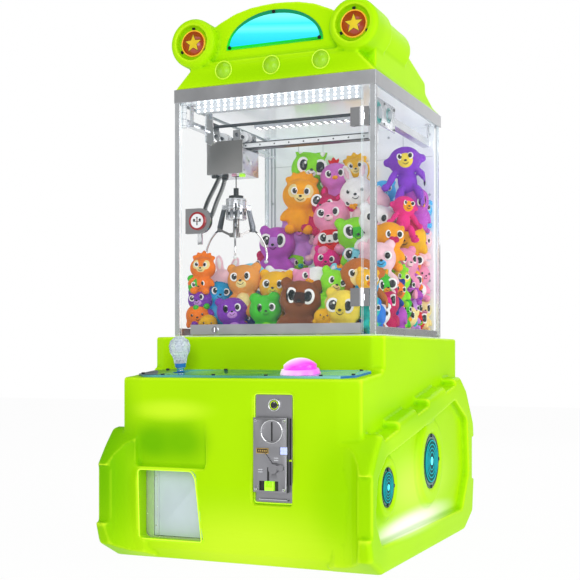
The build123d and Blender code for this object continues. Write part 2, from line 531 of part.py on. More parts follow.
# ---------------------------------------------------------------- electrics and rear
panel = box(-134, 134, 296, 298, 66, 344)
for row in range(6):
    panel -= box(-40, 40, 290, 300, 230 + row * 14, 236 + row * 14)
for x in (-126, 126):
    for z in (74, 336):
        panel += rod_y(x, z, 4, 298, 300)
save("rear_service_panel", panel)
inlet = box(136, 174, 296, 299, 58, 122) + box(140.3, 169.7, 272, 296, 62.3, 117.7)
inlet -= box(142, 168, 280, 300, 66, 88)
for x in (148, 155, 162):
    inlet += box(x - 1, x + 1, 279, 294, 75, 79)
inlet -= box(144, 166, 284, 300, 92, 114)
inlet -= rod_x(292, 103, 1.55, 140, 170)
save("power_inlet", inlet)
rocker = face([(288, 94.6), (297, 93.2), (300.5, 93.6), (299, 103), (302.5, 112.4), (297, 112.8), (288, 111.4)])
switch = prism_x(rocker, 144.6, 165.4) + rod_x(292, 103, 1.5, 142, 168)
save("power_switch", switch)
supply = box(100, 200, 150, 250, 10.4, 52) + box(110, 190, 160, 240, 52, 54)
board = box(60, 190, 60, 140, 16, 18)
for x in (66, 184):
    for y in (66, 134):
        board += rod_z(x, y, 3, 10.4, 16)
board += box(80, 110, 80, 110, 18, 24) + box(130, 170, 70, 84, 18, 30)
save("electronics", supply, board)

# ---------------------------------------------------------------- canopy
EYE_X, EYE_Z, EYE_R = 160.0, 949.0, 46.0
ARCH = [(-134, 900), (-134, 972), (-112, 985), (-80, 999), (-45, 1007), (0, 1010), (45, 1007),
        (80, 999), (112, 985), (134, 972), (134, 900)]
ARCH_SIDE = [(-138, 890), (-138, 1010), (-104, 1010), (78, 962), (78, 890)]
FASCIA = [(-200, BAND_TOP), (200, BAND_TOP), (166, 901), (-166, 901)]
ROOF_SIDE = [(-112, BAND_TOP), (-112, 978), (78, 956), (80, 947), (198, 919), (202, 898), (274, 874),
             (274, BAND_TOP)]


def dome(half, rise, base):
    """Half ellipse standing on a straight base line."""
    steps = 28
    arc = [(half * cos(radians(180 * k / steps)), base + rise * sin(radians(180 * k / steps)))
           for k in range(steps + 1)]
    return face(arc)


def canopy_volume(inset):
    """Outside of the canopy, shrunk by inset for the hollow below it."""
    skirt = prism_y(face(FASCIA, grow=-inset), -150 + inset, 272 - inset)
    ledge = [(-166, BAND_TOP), (166, BAND_TOP), (166, 911), (-166, 911)]
    skirt += prism_y(face(ledge, grow=-inset), -147 + inset, -100)
    roof = prism_x(face(ROOF_SIDE, grow=-inset), inset - 188, 188 - inset)
    arch = prism_y(face(ARCH, grow=-inset), -139 + 2 * inset, 90) & prism_x(face(ARCH_SIDE, grow=-inset), -180, 180)
    volume = skirt + roof + arch
    eye = rod_y(EYE_X, EYE_Z, EYE_R - inset, -160 + inset, -70)
    if not inset:
        eye = fillet(eye.edges().group_by(Axis.Y)[0], 11)
        crest = rod_y(EYE_X, EYE_Z, EYE_R - 6, -70, 60) & box(0, 220, -80, 70, 900, 1000)
        volume += both(crest)
    else:
        volume += box(-186, 186, -140, 260, 850, 870)
    return volume + both(eye)


canopy = canopy_volume(0)
hollow = canopy_volume(CANOPY_WALL)
hollow -= both(rod_y(EYE_X, EYE_Z, 37, -170, -138))
canopy -= hollow
canopy -= both(rod_y(EYE_X, EYE_Z, 32, -170, -148))
for x in (-97, 0, 97):
    canopy -= Pos(x, -152, 893) * Rot(X=90) * Cylinder(16, 7)
canopy -= prism_y(dome(97.6, 65.6, 931.4), -150, -135)
EYE_SCREW_R = 28.4
EYE_SCREWS = [(EYE_X + EYE_SCREW_R * cos(radians(a)), EYE_Z + EYE_SCREW_R * sin(radians(a))) for a in (90, 210, 330)]
SIGN_SCREWS = [(-90, 936), (90, 936), (0, 993)]
for x, z in EYE_SCREWS:
    canopy -= both(rod_y(x, z, 1.8, -150, -143))
for x, z in SIGN_SCREWS:
    canopy -= rod_y(x, z, 1.8, -140, -132)
save("canopy_shell", canopy)
lens = prism_y(dome(90, 52, 938), -138, -135)
border = prism_y(dome(97, 65, 932), -138, -135) - prism_y(dome(90, 52, 938), -140, -130)
for x, z in SIGN_SCREWS:
    border -= rod_y(x, z, 1.8, -140, -132)
save("marquee_lens", lens, border)
save("eye_discs", *pair(rod_y(EYE_X, EYE_Z, 25, -151, -148)))
for x, z in EYE_SCREWS:
    screws += pair(rod_y(x, z, 3.2, -150, -148) + rod_y(x, z, 1.7, -149, -144))
for x, z in SIGN_SCREWS:
    screws += [rod_y(x, z, 3.2, -140, -138) + rod_y(x, z, 1.7, -139, -133)]
save("screws", *screws)
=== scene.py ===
"""Looks of the claw crane machine: moulded shells, glass cabinet, gantry, claw and plush toys."""
import math
import random

import bmesh
import bpy
from mathutils import Matrix, Vector


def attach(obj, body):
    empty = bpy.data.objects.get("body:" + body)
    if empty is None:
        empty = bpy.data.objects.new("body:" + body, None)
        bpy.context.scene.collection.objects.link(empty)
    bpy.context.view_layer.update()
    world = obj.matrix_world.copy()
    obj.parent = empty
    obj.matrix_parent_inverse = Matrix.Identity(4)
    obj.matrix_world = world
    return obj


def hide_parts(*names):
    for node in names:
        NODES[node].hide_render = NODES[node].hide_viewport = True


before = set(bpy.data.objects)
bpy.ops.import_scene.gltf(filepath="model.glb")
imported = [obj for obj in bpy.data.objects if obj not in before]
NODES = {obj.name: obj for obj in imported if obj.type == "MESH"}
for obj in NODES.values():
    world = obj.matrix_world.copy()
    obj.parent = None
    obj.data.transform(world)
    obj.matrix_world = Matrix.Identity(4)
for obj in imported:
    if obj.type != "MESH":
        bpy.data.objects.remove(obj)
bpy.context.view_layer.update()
MM = 0.001
random.seed(7)


# ---- materials
GRAIN_DEPTH, BRUSH_DEPTH = 0.0006, 0.0004                    # of the fine bump, in metres
PATCH_CORE = 0.15                                            # share of a patch's radius at full colour


def node(tree, kind, settings=(), **plugs):
    """New shader node. Plugs are inputs by name, with _ for a space: a socket to link or a plain value."""
    made = tree.nodes.new("ShaderNode" + kind)
    for key, value in dict(settings).items():
        setattr(made, key, value)
    for key, value in plugs.items():
        plug = made.inputs[key.replace("_", " ")]
        if isinstance(value, bpy.types.NodeSocket):
            tree.links.new(value, plug)
        else:
            plug.default_value = value
    return made


def object_place(tree):
    return node(tree, "TexCoord").outputs["Object"]


def bumped(tree, height, strength, distance):
    bump = node(tree, "Bump", Height=height, Strength=strength, Distance=distance)
    tree.links.new(bump.outputs["Normal"], tree.nodes["Principled BSDF"].inputs["Normal"])


def blend_in(tree, share, tint):
    """Takes the base colour to a tint by the result of a Map Range node."""
    base = tree.nodes["Principled BSDF"].inputs["Base Color"]
    before = base.links[0].from_socket
    mix = node(tree, "MixRGB", Fac=share.outputs["Result"], Color1=before, Color2=[*tint, 1])
    tree.links.new(mix.outputs["Color"], base)


def surface(name, color, rough=0.5, metal=0.0, mottle=(60.0, 0.06), grain=(900.0, 0.05),
            spread=0.08, **sockets):
    """Principled material with mottled colour, uneven roughness and a fine bump.

    mottle is (scale, strength) of the colour, grain the same for the bump.
    """
    mat = bpy.data.materials.new(name)
    mat.use_nodes = True
    tree = mat.node_tree
    shader = tree.nodes["Principled BSDF"]
    shader.inputs["Metallic"].default_value = metal
    place = object_place(tree)
    cloud = node(tree, "TexNoise", Vector=place, Scale=mottle[0], Detail=4).outputs["Fac"]
    ramp = node(tree, "ValToRGB", Fac=cloud)
    for element, at, change in zip(ramp.color_ramp.elements, (0.3, 0.7), (-mottle[1], mottle[1])):
        element.position = at
        element.color = [min(1, c * (1 + change)) for c in color] + [1]
    tree.links.new(ramp.outputs["Color"], shader.inputs["Base Color"])
    uneven = node(tree, "MapRange", Value=cloud, To_Min=max(0.0, rough - spread / 2),
                  To_Max=min(1.0, rough + spread / 2))
    tree.links.new(uneven.outputs["Result"], shader.inputs["Roughness"])
    if grain[1]:
        fine = node(tree, "TexNoise", Vector=place, Scale=grain[0])
        bumped(tree, fine.outputs["Fac"], grain[1], GRAIN_DEPTH)
    for key, value in sockets.items():
        shader.inputs[key.replace("_", " ")].default_value = value
    return mat


def paint_light_and_shade(mat, patches):
    """Paints soft patches of light and shade into the colour: (centre, radii in metres, colour, amount),
    fading to the rim.
    """
    tree = mat.node_tree
    place = object_place(tree)
    for centre, radii, tint, amount in patches:
        local = node(tree, "Mapping", {"vector_type": "TEXTURE"}, Vector=place, Location=centre, Scale=radii)
        reach = node(tree, "VectorMath", {"operation": "LENGTH"}, Vector=local.outputs["Vector"])
        share = node(tree, "MapRange", {"interpolation_type": "SMOOTHSTEP"}, Value=reach.outputs["Value"],
                     From_Min=PATCH_CORE, To_Min=amount, To_Max=0.0)
        blend_in(tree, share, tint)


def painted_edge_light_and_hollow_shade(mat, hollow, ridge):
    """Painted shade in the hollows of the surface and painted highlights on its ridges, by pointiness."""
    tree = mat.node_tree
    bend = node(tree, "NewGeometry").outputs["Pointiness"]
    for low, high, tint in ((0.495, 0.455, hollow), (0.515, 0.56, ridge)):
        share = node(tree, "MapRange", Value=bend, From_Min=low, From_Max=high, To_Max=0.75)
        blend_in(tree, share, tint)


def glow(mat, color, strength):
    shader = mat.node_tree.nodes["Principled BSDF"]
    shader.inputs["Emission Color"].default_value = [*color, 1]
    shader.inputs["Emission Strength"].default_value = strength
    return mat


def clear(name, color, alpha, rough):
    return surface(name, color, rough, 0, (8, 0.03), (300, 0.0), 0.03, Alpha=alpha, Specular_IOR_Level=0.8)


def brushed(name, color, rough, axis):
    """Metal brushed along one axis: noise stretched along it."""
    mat = surface(name, color, rough, 1.0, (25, 0.05), (0, 0), 0.12)
    tree = mat.node_tree
    stretch = [900.0, 900.0, 900.0]
    stretch[axis] = 12.0
    local = node(tree, "Mapping", Vector=object_place(tree), Scale=stretch)
    lines = node(tree, "TexNoise", Vector=local.outputs["Vector"], Scale=1.0)
    bumped(tree, lines.outputs["Fac"], 0.12, BRUSH_DEPTH)
    return mat


def graded(name, stops, along, start, end, emit, rough):
    """Colour that changes with place: stops are (share, r, g, b) from start to end, in metres along."""
    mat = surface(name, stops[0][1:], rough, 0, (40, 0.02), (500, 0.03))
    tree = mat.node_tree
    shader = tree.nodes["Principled BSDF"]
    dot = node(tree, "VectorMath", {"operation": "DOT_PRODUCT"}, Vector=object_place(tree))
    dot.inputs[1].default_value = along
    share = node(tree, "MapRange", Value=dot.outputs["Value"], From_Min=start, From_Max=end)
    ramp = node(tree, "ValToRGB", Fac=share.outputs["Result"])
    while len(ramp.color_ramp.elements) < len(stops):
        ramp.color_ramp.elements.new(0.5)
    for element, (place, *color) in zip(ramp.color_ramp.elements, stops):
        element.position = place
        element.color = color + [1]
    for plug in ("Base Color", "Emission Color"):
        tree.links.new(ramp.outputs["Color"], shader.inputs[plug])
    shader.inputs["Emission Strength"].default_value = emit
    return mat


GREEN = surface("green_moulding", (0.43, 0.80, 0.002), 0.38, 0, (7, 0.02), (650, 0.035), 0.10,
                Specular_IOR_Level=0.035)
SHADE_PAINT_GREEN, HIGHLIGHT_PAINT_GREEN, GLARE_PAINT_WHITE = (0.17, 0.50, 0.0), (0.66, 0.95, 0.03), (0.97, 1.0, 0.75)
# painted light on the green mouldings: painted shade on the collar front, in the scoop over the prize
# opening, on both skirts, on the fascia and round the eyes; painted highlights over the scoop, low on the
# front and on the right skirt; white painted glare on the skirts' low recess ledges
paint_light_and_shade(GREEN, [
    ((0, -0.17, 0.372), (0.30, 0.10, 0.075), (0.32, 0.69, 0.0), 0.35),
    ((-0.165, -0.29, 0.212), (0.070, 0.12, 0.058), SHADE_PAINT_GREEN, 1.0),
    ((-0.105, -0.29, 0.214), (0.075, 0.12, 0.060), SHADE_PAINT_GREEN, 0.9),
    ((-0.125, -0.29, 0.268), (0.105, 0.12, 0.026), HIGHLIGHT_PAINT_GREEN, 0.7),
    ((-0.25, -0.20, 0.16), (0.09, 0.36, 0.24), (0.13, 0.45, 0.0), 1.0),
    ((0.02, -0.30, 0.03), (0.26, 0.10, 0.11), HIGHLIGHT_PAINT_GREEN, 0.8),
    ((0.19, -0.29, 0.15), (0.07, 0.10, 0.14), (0.34, 0.72, 0.0), 0.8),
    ((0.25, -0.30, 0.15), (0.06, 0.09, 0.20), (0.32, 0.70, 0.0), 0.9),
    ((0.25, -0.10, 0.265), (0.045, 0.30, 0.045), (0.32, 0.70, 0.0), 0.9),
    ((0.232, -0.03, 0.13), (0.028, 0.28, 0.09), (0.70, 0.97, 0.11), 0.9),
    ((0.0, -0.15, 0.884), (0.26, 0.05, 0.030), (0.30, 0.66, 0.0), 0.8),
    ((0.16, -0.14, 0.95), (0.075, 0.06, 0.075), (0.30, 0.66, 0.0), 1.0),
    ((-0.16, -0.14, 0.95), (0.075, 0.06, 0.075), (0.34, 0.70, 0.0), 0.9),
    ((0.244, -0.05, 0.062), (0.018, 0.30, 0.032), GLARE_PAINT_WHITE, 1.0),
    ((0.244, -0.10, 0.060), (0.018, 0.22, 0.024), (1.0, 1.0, 0.92), 1.0),
    ((-0.244, -0.05, 0.062), (0.018, 0.30, 0.032), GLARE_PAINT_WHITE, 1.0)])
# painted shade in the hollows and painted highlights on the ridges of the green mouldings
painted_edge_light_and_hollow_shade(GREEN, (0.20, 0.54, 0.0), (0.70, 0.97, 0.03))
GLASS = clear("cabinet_glass", (0.42, 0.55, 0.58), 0.035, 0.02)
# the polished glass edges glow faintly: a painted glint
GLASS_EDGE_PAINTED_GLINT = glow(clear("polished_glass_edge_painted_glint", (0.80, 0.90, 0.92), 0.62, 0.08), (0.85, 0.95, 1.0), 0.25)
ALUMINIUM = brushed("brushed_aluminium", (0.60, 0.61, 0.63), 0.34, 0)
ALUMINIUM_UP = brushed("brushed_aluminium_upright", (0.80, 0.81, 0.83), 0.28, 2)
STEEL = brushed("brushed_steel", (0.30, 0.29, 0.285), 0.34, 0)
STEEL_UP = brushed("brushed_steel_upright", (0.33, 0.33, 0.35), 0.38, 2)
ZINC = surface("zinc_plate", (0.62, 0.64, 0.67), 0.38, 0.9, (45, 0.10), (500, 0.05))
CHROME = surface("chrome", (0.78, 0.79, 0.81), 0.10, 1.0, (30, 0.04), (400, 0.02), 0.06)
WHITE = surface("white_plastic", (0.86, 0.88, 0.90), 0.42, 0, (20, 0.03), (700, 0.05))
LINER_PAINTED_GLOW = surface("white_liner_painted_glow", (0.88, 0.92, 0.96), 0.16, 0.25, (12, 0.04), (500, 0.03))
# the white liner glows faintly: painted light for the brightly lit inside of the cabinet
glow(LINER_PAINTED_GLOW, (0.93, 0.97, 1.0), 0.16)
BLACK = surface("black_plastic", (0.018, 0.018, 0.02), 0.42, 0, (40, 0.10), (800, 0.08))
RUBBER = surface("black_rubber", (0.014, 0.014, 0.016), 0.6, 0, (80, 0.10), (1200, 0.12))
SCREW = surface("dark_screw", (0.03, 0.035, 0.035), 0.35, 0.8, (200, 0.1), (900, 0.08))
TEAL = surface("teal_plate", (0.02, 0.30, 0.28), 0.4, 0.2, (60, 0.08), (600, 0.06))
RED_RING = surface("dark_red_ring", (0.33, 0.012, 0.02), 0.35, 0.1, (90, 0.08), (600, 0.05))
LED_BODY = surface("led_diffuser", (0.68, 0.72, 0.77), 0.4, 0, (40, 0.04), (300, 0.02))
LED_DOT = glow(surface("led_dot", (1.0, 1.0, 1.0), 0.3, 0, (40, 0.0), (300, 0.0)), (0.96, 0.98, 1.0), 3.5)

SHADOW_GREY = surface("shadow_grey", (0.42, 0.46, 0.50), 0.5, 0.2, (60, 0.08), (500, 0.05))
DARK_STEEL = surface("dark_steel", (0.10, 0.105, 0.12), 0.3, 0.85, (90, 0.08), (700, 0.05))
PALE_STEEL = surface("pale_steel", (0.74, 0.76, 0.80), 0.26, 0.65, (60, 0.06), (500, 0.04))
GLOW_GREEN = glow(surface("lit_green", (0.40, 0.90, 0.02), 0.35), (0.45, 0.95, 0.03), 0.45)
SOFT_PINK = surface("pink_clip", (0.75, 0.35, 0.50), 0.5)
GOLD = surface("gold_edge", (0.62, 0.42, 0.12), 0.3, 0.8, (200, 0.15), (600, 0.05))
BROWN_PLATE = surface("brown_plate", (0.035, 0.025, 0.015), 0.35, 0.1, (200, 0.3), (600, 0.05))
LED_WINDOW = glow(surface("led_window", (0.45, 0.50, 0.72), 0.3), (0.45, 0.52, 0.90), 0.6)
FLAP_FACE = surface("pale_blue_flap", (0.62, 0.70, 0.80), 0.42, 0.15, (9, 0.08), (500, 0.04))
COVER_GREEN = surface("dark_green_cover", (0.0, 0.12, 0.09), 0.22, 0, (25, 0.25), (500, 0.03))
TEAL_GLOW = surface("teal_light", (0.0, 0.09, 0.075), 0.5, Specular_IOR_Level=0.1)
BLUE_GLOW = surface("blue_light", (0.0, 0.06, 0.075), 0.5, Specular_IOR_Level=0.1)
CYAN_GLOW = surface("cyan_light", (0.02, 0.46, 0.50), 0.5, Specular_IOR_Level=0.1)
CYAN_BRIGHT = glow(surface("cyan_lamp", (0.04, 0.72, 0.90), 0.25), (0.03, 0.75, 0.95), 1.0)
AMBER_RIM = glow(surface("amber_rim", (0.80, 0.42, 0.02), 0.3), (0.85, 0.48, 0.02), 0.25)
EYE_RED = surface("eye_red", (0.40, 0.035, 0.008), 0.24, 0, (40, 0.10), (500, 0.03), 0.06, Coat_Weight=0.5)
STAR_EDGE = surface("star_edge", (0.16, 0.05, 0.01), 0.4)
STAR_YELLOW = surface("star_yellow", (0.78, 0.58, 0.015), 0.3, 0, (60, 0.08), (500, 0.04))
GROOVE_PAINTED_SHADE = surface("groove_painted_shade", (0.03, 0.22, 0.01), 0.5)


# ---- mesh helpers
def in_scene(name, data):
    obj = bpy.data.objects.new(name, data)
    bpy.context.scene.collection.objects.link(obj)
    return obj


def shade(mesh, smooth=True):
    for poly in mesh.polygons:
        poly.use_smooth = smooth


def to_object(bm, name, mats, smooth=True):
    mesh = bpy.data.meshes.new(name)
    bm.normal_update()
    bm.to_mesh(mesh)
    bm.free()
    for mat in mats:
        mesh.materials.append(mat)
    shade(mesh, smooth)
    return in_scene(name, mesh)


def baked(obj, *modifiers):
    """Applies (type, settings) modifiers to the object's mesh."""
    for kind, settings in modifiers:
        mod = obj.modifiers.new(kind.lower(), kind)
        for key, value in settings.items():
            setattr(mod, key, value)
    graph = bpy.context.evaluated_depsgraph_get()
    mesh = bpy.data.meshes.new_from_object(obj.evaluated_get(graph))
    obj.modifiers.clear()
    old = obj.data
    obj.data = mesh
    bpy.data.meshes.remove(old)


def from_node(name):
    """A CAD node's surfaces welded together in a new bmesh."""
    bm = bmesh.new()
    bm.from_mesh(NODES[name].data)
    bmesh.ops.remove_doubles(bm, verts=bm.verts, dist=1e-5)
    return bm


def settled(obj, body, stands_for=None):
    """Puts an object on its body and hides the CAD node that it stands for."""
    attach(obj, body)
    if stands_for:
        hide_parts(stands_for)
    return obj


def moulded(name, cad_node, voxel, hidden):
    """Soft-edged copy of a moulding: voxel remesh, smoothing, and no faces where hidden(point) is true."""
    obj = to_object(from_node(cad_node), name, [GREEN])
    baked(obj, ("REMESH", {"mode": "VOXEL", "voxel_size": voxel, "adaptivity": 0.0}))
    bm = bmesh.new()
    bm.from_mesh(obj.data)
    doomed = [f for f in bm.faces if hidden(f.calc_center_median())]
    bmesh.ops.delete(bm, geom=doomed, context="FACES")
    border = {v for e in bm.edges if e.is_boundary for v in e.verts}
    inner = [v for v in bm.verts if v not in border]
    for _ in range(3):
        bmesh.ops.smooth_vert(bm, verts=inner, factor=0.5, use_axis_x=True, use_axis_y=True, use_axis_z=True)
    bm.to_mesh(obj.data)
    bm.free()
    obj.data.materials.clear()
    obj.data.materials.append(GREEN)
    shade(obj.data)
    settled(obj, "cabinet", cad_node)


def in_base_hollow(p):
    """Inside of the base that nothing shows: all but the coin bay, the prize bay and the front's foot."""
    x, y, z = p.x / MM, p.y / MM, p.z / MM
    if abs(x) < 222 and -289 < y < 292 and 8 < z < 318:
        coin_bay = 25 < x < 115 and y < -150
        prize_bay = -212 < x < -20 and y < -255
        low_front = z < 32 and y < -258
        return not (coin_bay or prize_bay or low_front)
    return 222 <= abs(x) < 237 and -300 < y < 300 and 45 < z < slope_line(y) - 20


def slope_line(y):
    """Height of the skirts' sloping top edge."""
    return min(233 + (y + 283) * 0.178, 318)


def in_canopy_hollow(p):
    """Inside of the canopy below its roof."""
    x, y, z = abs(p.x / MM), p.y / MM, p.z / MM
    return x < 184 and -138 < y < 258 and z < 873


def paint_faces(made, index):
    for face in {f for v in made["verts"] for f in v.link_faces}:
        face.material_index = index


def spin(degrees, axis):
    return Matrix.Rotation(math.radians(degrees), 4, axis)


def shift(x, y, z):
    """Move by millimetres."""
    return Matrix.Translation((x * MM, y * MM, z * MM))


def ball(bm, centre, radii, lean=0.0, turn=0.0, detail=(18, 11), index=0):
    """Ellipsoid; lean tips it in the x-z plane and turn about z, in degrees."""
    matrix = Matrix.Translation(centre) @ spin(turn, "Z") @ spin(lean, "Y") @ Matrix.Diagonal((*radii, 1))
    made = bmesh.ops.create_uvsphere(bm, u_segments=detail[0], v_segments=detail[1], radius=1, matrix=matrix)
    paint_faces(made, index)


def islands(bm):
    """Faces of each separate piece of a bmesh."""
    left = set(bm.faces)
    while left:
        group, edge = set(), [left.pop()]
        while edge:
            face = edge.pop()
            group.add(face)
            for near in {f for e in face.edges for f in e.link_faces}:
                if near in left:
                    left.discard(near)
                    edge.append(near)
        yield group


def span(faces):
    """Low and high corner of some faces, in millimetres."""
    points = [v.co / MM for f in faces for v in f.verts]
    return [min(p[k] for p in points) for k in range(3)], [max(p[k] for p in points) for k in range(3)]


def dressed(cad_node, body, mats, pick, bevel):
    """Copy of a CAD node with one material per face and softened edges, in its place.

    pick(low, high, centre, normal) gets the piece's corners and the face's centre in millimetres.
    """
    bm = from_node(cad_node)
    bm.normal_update()
    for group in islands(bm):
        low, high = span(group)
        for face in group:
            face.material_index = pick(low, high, face.calc_center_median() / MM, face.normal)
    obj = to_object(bm, "dressed_" + cad_node, mats, False)
    soften(obj, bevel)
    return settled(obj, body, cad_node)


def one_look(*face):
    return 0


def soften(obj, width):
    mod = obj.modifiers.new("edges", "BEVEL")
    mod.width = width * MM
    mod.segments = 2
    mod.limit_method = "ANGLE"
    mod.angle_limit = math.radians(40)
    mod.harden_normals = True
    shade(obj.data)
    obj.data.set_sharp_from_angle(angle=math.radians(40))


def piece(bm, name, body, mats, bevel=0.0, smooth=True):
    """Own piece of the scene, riding on a body."""
    obj = to_object(bm, name, mats, smooth)
    if bevel:
        soften(obj, bevel)
    return settled(obj, body)


def brick(bm, x0, x1, y0, y1, z0, z1, index=0):
    """Box between two corners in millimetres."""
    size = Matrix.Diagonal(((x1 - x0) * MM, (y1 - y0) * MM, (z1 - z0) * MM, 1))
    centre = shift((x0 + x1) / 2, (y0 + y1) / 2, (z0 + z1) / 2)
    made = bmesh.ops.create_cube(bm, size=1, matrix=centre @ size)
    paint_faces(made, index)


AXIS = {"X": spin(90, "Y"), "Y": spin(90, "X"), "Z": Matrix()}


def disc(bm, centre, radius, depth, axis="Y", index=0, segments=40, top=None, matrix=Matrix()):
    """Round plate, or a cone when top is given; centre and sizes in millimetres."""
    made = bmesh.ops.create_cone(bm, cap_ends=True, segments=segments, radius1=radius * MM,
                                 radius2=(radius if top is None else top) * MM, depth=depth * MM,
                                 matrix=matrix @ (shift(*centre) @ AXIS[axis]))
    paint_faces(made, index)


def around(count):
    """Angles of count points spread round a circle."""
    return [2 * math.pi * k / count for k in range(count)]


def square_to(tangent, side):
    """A side direction made square to the tangent, and the third axis."""
    side = (side - tangent * side.dot(tangent)).normalized()
    return side, tangent.cross(side)


def spoke(side, across, angle):
    return side * math.cos(angle) + across * math.sin(angle)


def skin(bm, loops, index=0):
    """Joins each loop of vertices to the next one with quads."""
    for one, two in zip(loops, loops[1:]):
        for i in range(len(one)):
            after = (i + 1) % len(one)
            bm.faces.new((one[i], two[i], two[after], one[after])).material_index = index


def ring(bm, centre, radius, thick, axis="Y", index=0, matrix=Matrix()):
    """Ring of round section round an axis, in millimetres."""
    place = matrix @ shift(*centre) @ AXIS[axis]
    loops = []
    for a in around(56):
        loop = []
        for b in around(8):
            r = (radius + thick * math.cos(b)) * MM
            spot = Vector((r * math.cos(a), r * math.sin(a), thick * math.sin(b) * MM))
            loop.append(bm.verts.new(place @ spot))
        loops.append(loop)
    skin(bm, loops + loops[:1], index)


# ---- mouldings and plain pieces
moulded("moulded_base", "base_shell", 2.9 * MM, in_base_hollow)
moulded("moulded_canopy", "canopy_shell", 2.8 * MM, in_canopy_hollow)

# CAD nodes that keep their own mesh, by material
PLAIN = ((ZINC, "base_pan cash_box rear_service_panel electronics"), (RUBBER, "rubber_feet"),
         (SCREW, "screws"), (BLACK, "joystick_housing joystick_gimbal hoist_string power_inlet power_switch"),
         (CHROME, "joystick_shaft button_spring door_fittings door_rail_lock hinge_brackets"),
         (STEEL_UP, "coin_door reject_lever"), (PALE_STEEL, "prize_bin gantry_rails"),
         (WHITE, "prize_chute playfield_deck hoist_drum"), (LINER_PAINTED_GLOW, "liner_panels"), (ALUMINIUM, "door_rail"),
         (STEEL, "claw_plunger claw_link_1 claw_link_2 claw_link_3"))
for mat, names in PLAIN:
    for name in names.split():
        slots = NODES[name].data.materials
        slots.clear()
        slots.append(mat)

# ---- cabinet
def frame_look(low, high, centre, normal):
    if high[2] - low[2] > 300:
        return 1
    return 2 if high[2] < 430 else 0


POST = surface("clear_silver_post", (0.80, 0.83, 0.86), 0.16, 0.75, (30, 0.06), (300, 0.03))
dressed("cabinet_frame", "cabinet", [ALUMINIUM, POST, ALUMINIUM_UP], frame_look, 0.4)


def pane_look(low, high, centre, normal):
    """Clear on the two large faces and a painted glint on the polished edges."""
    thin = min(range(3), key=lambda k: high[k] - low[k])
    return 0 if abs(normal[thin]) > 0.9 else 1


dressed("side_glass", "cabinet", [GLASS, GLASS_EDGE_PAINTED_GLINT], pane_look, 0.0)
dressed("door_glass", "door", [GLASS, GLASS_EDGE_PAINTED_GLINT], pane_look, 0.0)

# light bars: white channel with rows of small bright lamps along its front and underside
dressed("led_strips", "cabinet", [LED_BODY], one_look, 0.8)
bm = bmesh.new()
FRONT_LAMP, ROOF_LAMP = (2.6 * MM, 0.9 * MM, 2.2 * MM), (2.8 * MM, 2.2 * MM, 0.8 * MM)
for row in (825, 833, 840):
    for k in range(24):
        ball(bm, ((-159 + k * 13.8) * MM, -131 * MM, row * MM), FRONT_LAMP, 0, 0, (10, 6))
for row in (99, 106, 113):
    for k in range(20):
        ball(bm, ((-143 + k * 15) * MM, row * MM, 836 * MM), ROOF_LAMP, 0, 0, (10, 6))
piece(bm, "lamps", "cabinet", [LED_DOT])

# wall liner: panel joints and bolt heads on the rear wall and ceiling
bm = bmesh.new()
for x in (-118, -60, 62, 122):
    brick(bm, x - 0.6, x + 0.6, 257.6, 258.2, 404, 838)
for x in (-184, -176):
    brick(bm, x, x + 3, 256.5, 258.2, 404, 838)
for z in (500, 640, 780):
    brick(bm, -186, 186, 257.7, 258.2, z - 0.5, z + 0.5)
for x in (-180, -90, 0, 90, 180):
    for z in (520, 700, 826):
        disc(bm, (x, 257.4, z), 2.6, 1.4)
piece(bm, "liner_joints", "cabinet", [SHADOW_GREY], 0.15)

# ---- gantry
def drive_look(low, high, centre, normal):
    if high[0] < 0:
        return 0
    return 2 if centre[0] > 188.6 else 1


dressed("y_drive_motor", "cabinet", [WHITE, PALE_STEEL, SHADOW_GREY], drive_look, 0.3)
bm = bmesh.new()
for y, z, radius in ((-100, 800, 21), (-40, 806, 14)):
    disc(bm, (188.8, y, z), radius, 0.8, "X")
    ring(bm, (189.0, y, z), radius - 1.5, 0.7, "X", 1)
    for k in range(4):
        a = math.radians(45 + 90 * k)
        disc(bm, (189.3, y + radius * 0.74 * math.cos(a), z + radius * 0.74 * math.sin(a)), 1.6, 0.8, "X", 2)
for y, z in ((-122, 822), (-122, 785), (-66, 822), (-8, 822), (-8, 785), (-66, 785)):
    disc(bm, (188.8, y, z), 2.4, 0.9, "X", 2)
for z in (800, 812, 824, 838):
    ring(bm, (-189, -134, z), 5.2, 0.8, "Z", 1)
piece(bm, "drive_details", "cabinet", [TEAL, PALE_STEEL, BLACK], 0.15)


def beam_look(low, high, centre, normal):
    edge = abs(normal[2]) > 0.5 or centre[2] > 770.4 or centre[2] < 761.6
    return 1 if edge and abs(centre[0]) < 165 else 0


dressed("bridge_beam", "bridge", [WHITE, DARK_STEEL], beam_look, 0.3)
bm = bmesh.new()
for x in range(-150, 160, 30):
    disc(bm, (x, -69.2, 766), 1.5, 0.6)
for y in (-69.6, -51.4):
    for z in (760.8, 771.2):
        brick(bm, -164, 164, y - 0.7, y + 0.7, z - 0.9, z + 0.9)
piece(bm, "beam_edges", "bridge", [DARK_STEEL], 0.2)


def roller_look(axis, wheel):
    """White wheels on a dark shaft."""
    def pick(low, high, centre, normal):
        offset = [centre[k] - (low[k] + high[k]) / 2 for k in range(3) if k != axis]
        return 0 if math.hypot(*offset) > wheel else 1
    return pick


dressed("bridge_axle", "bridge_axle", [WHITE, DARK_STEEL], roller_look(0, 3.6), 0.3)
for side in ("left", "right"):
    dressed("carriage_axle_" + side, "carriage_axle_" + side, [WHITE, DARK_STEEL],
            roller_look(1, 4.2), 0.4)


def carriage_look(low, high, centre, normal):
    if centre[1] < -96.05:
        return 1
    return 0 if centre[1] < -93.9 and 711 < centre[2] < 772 else 1 if centre[2] > 757.5 else 2


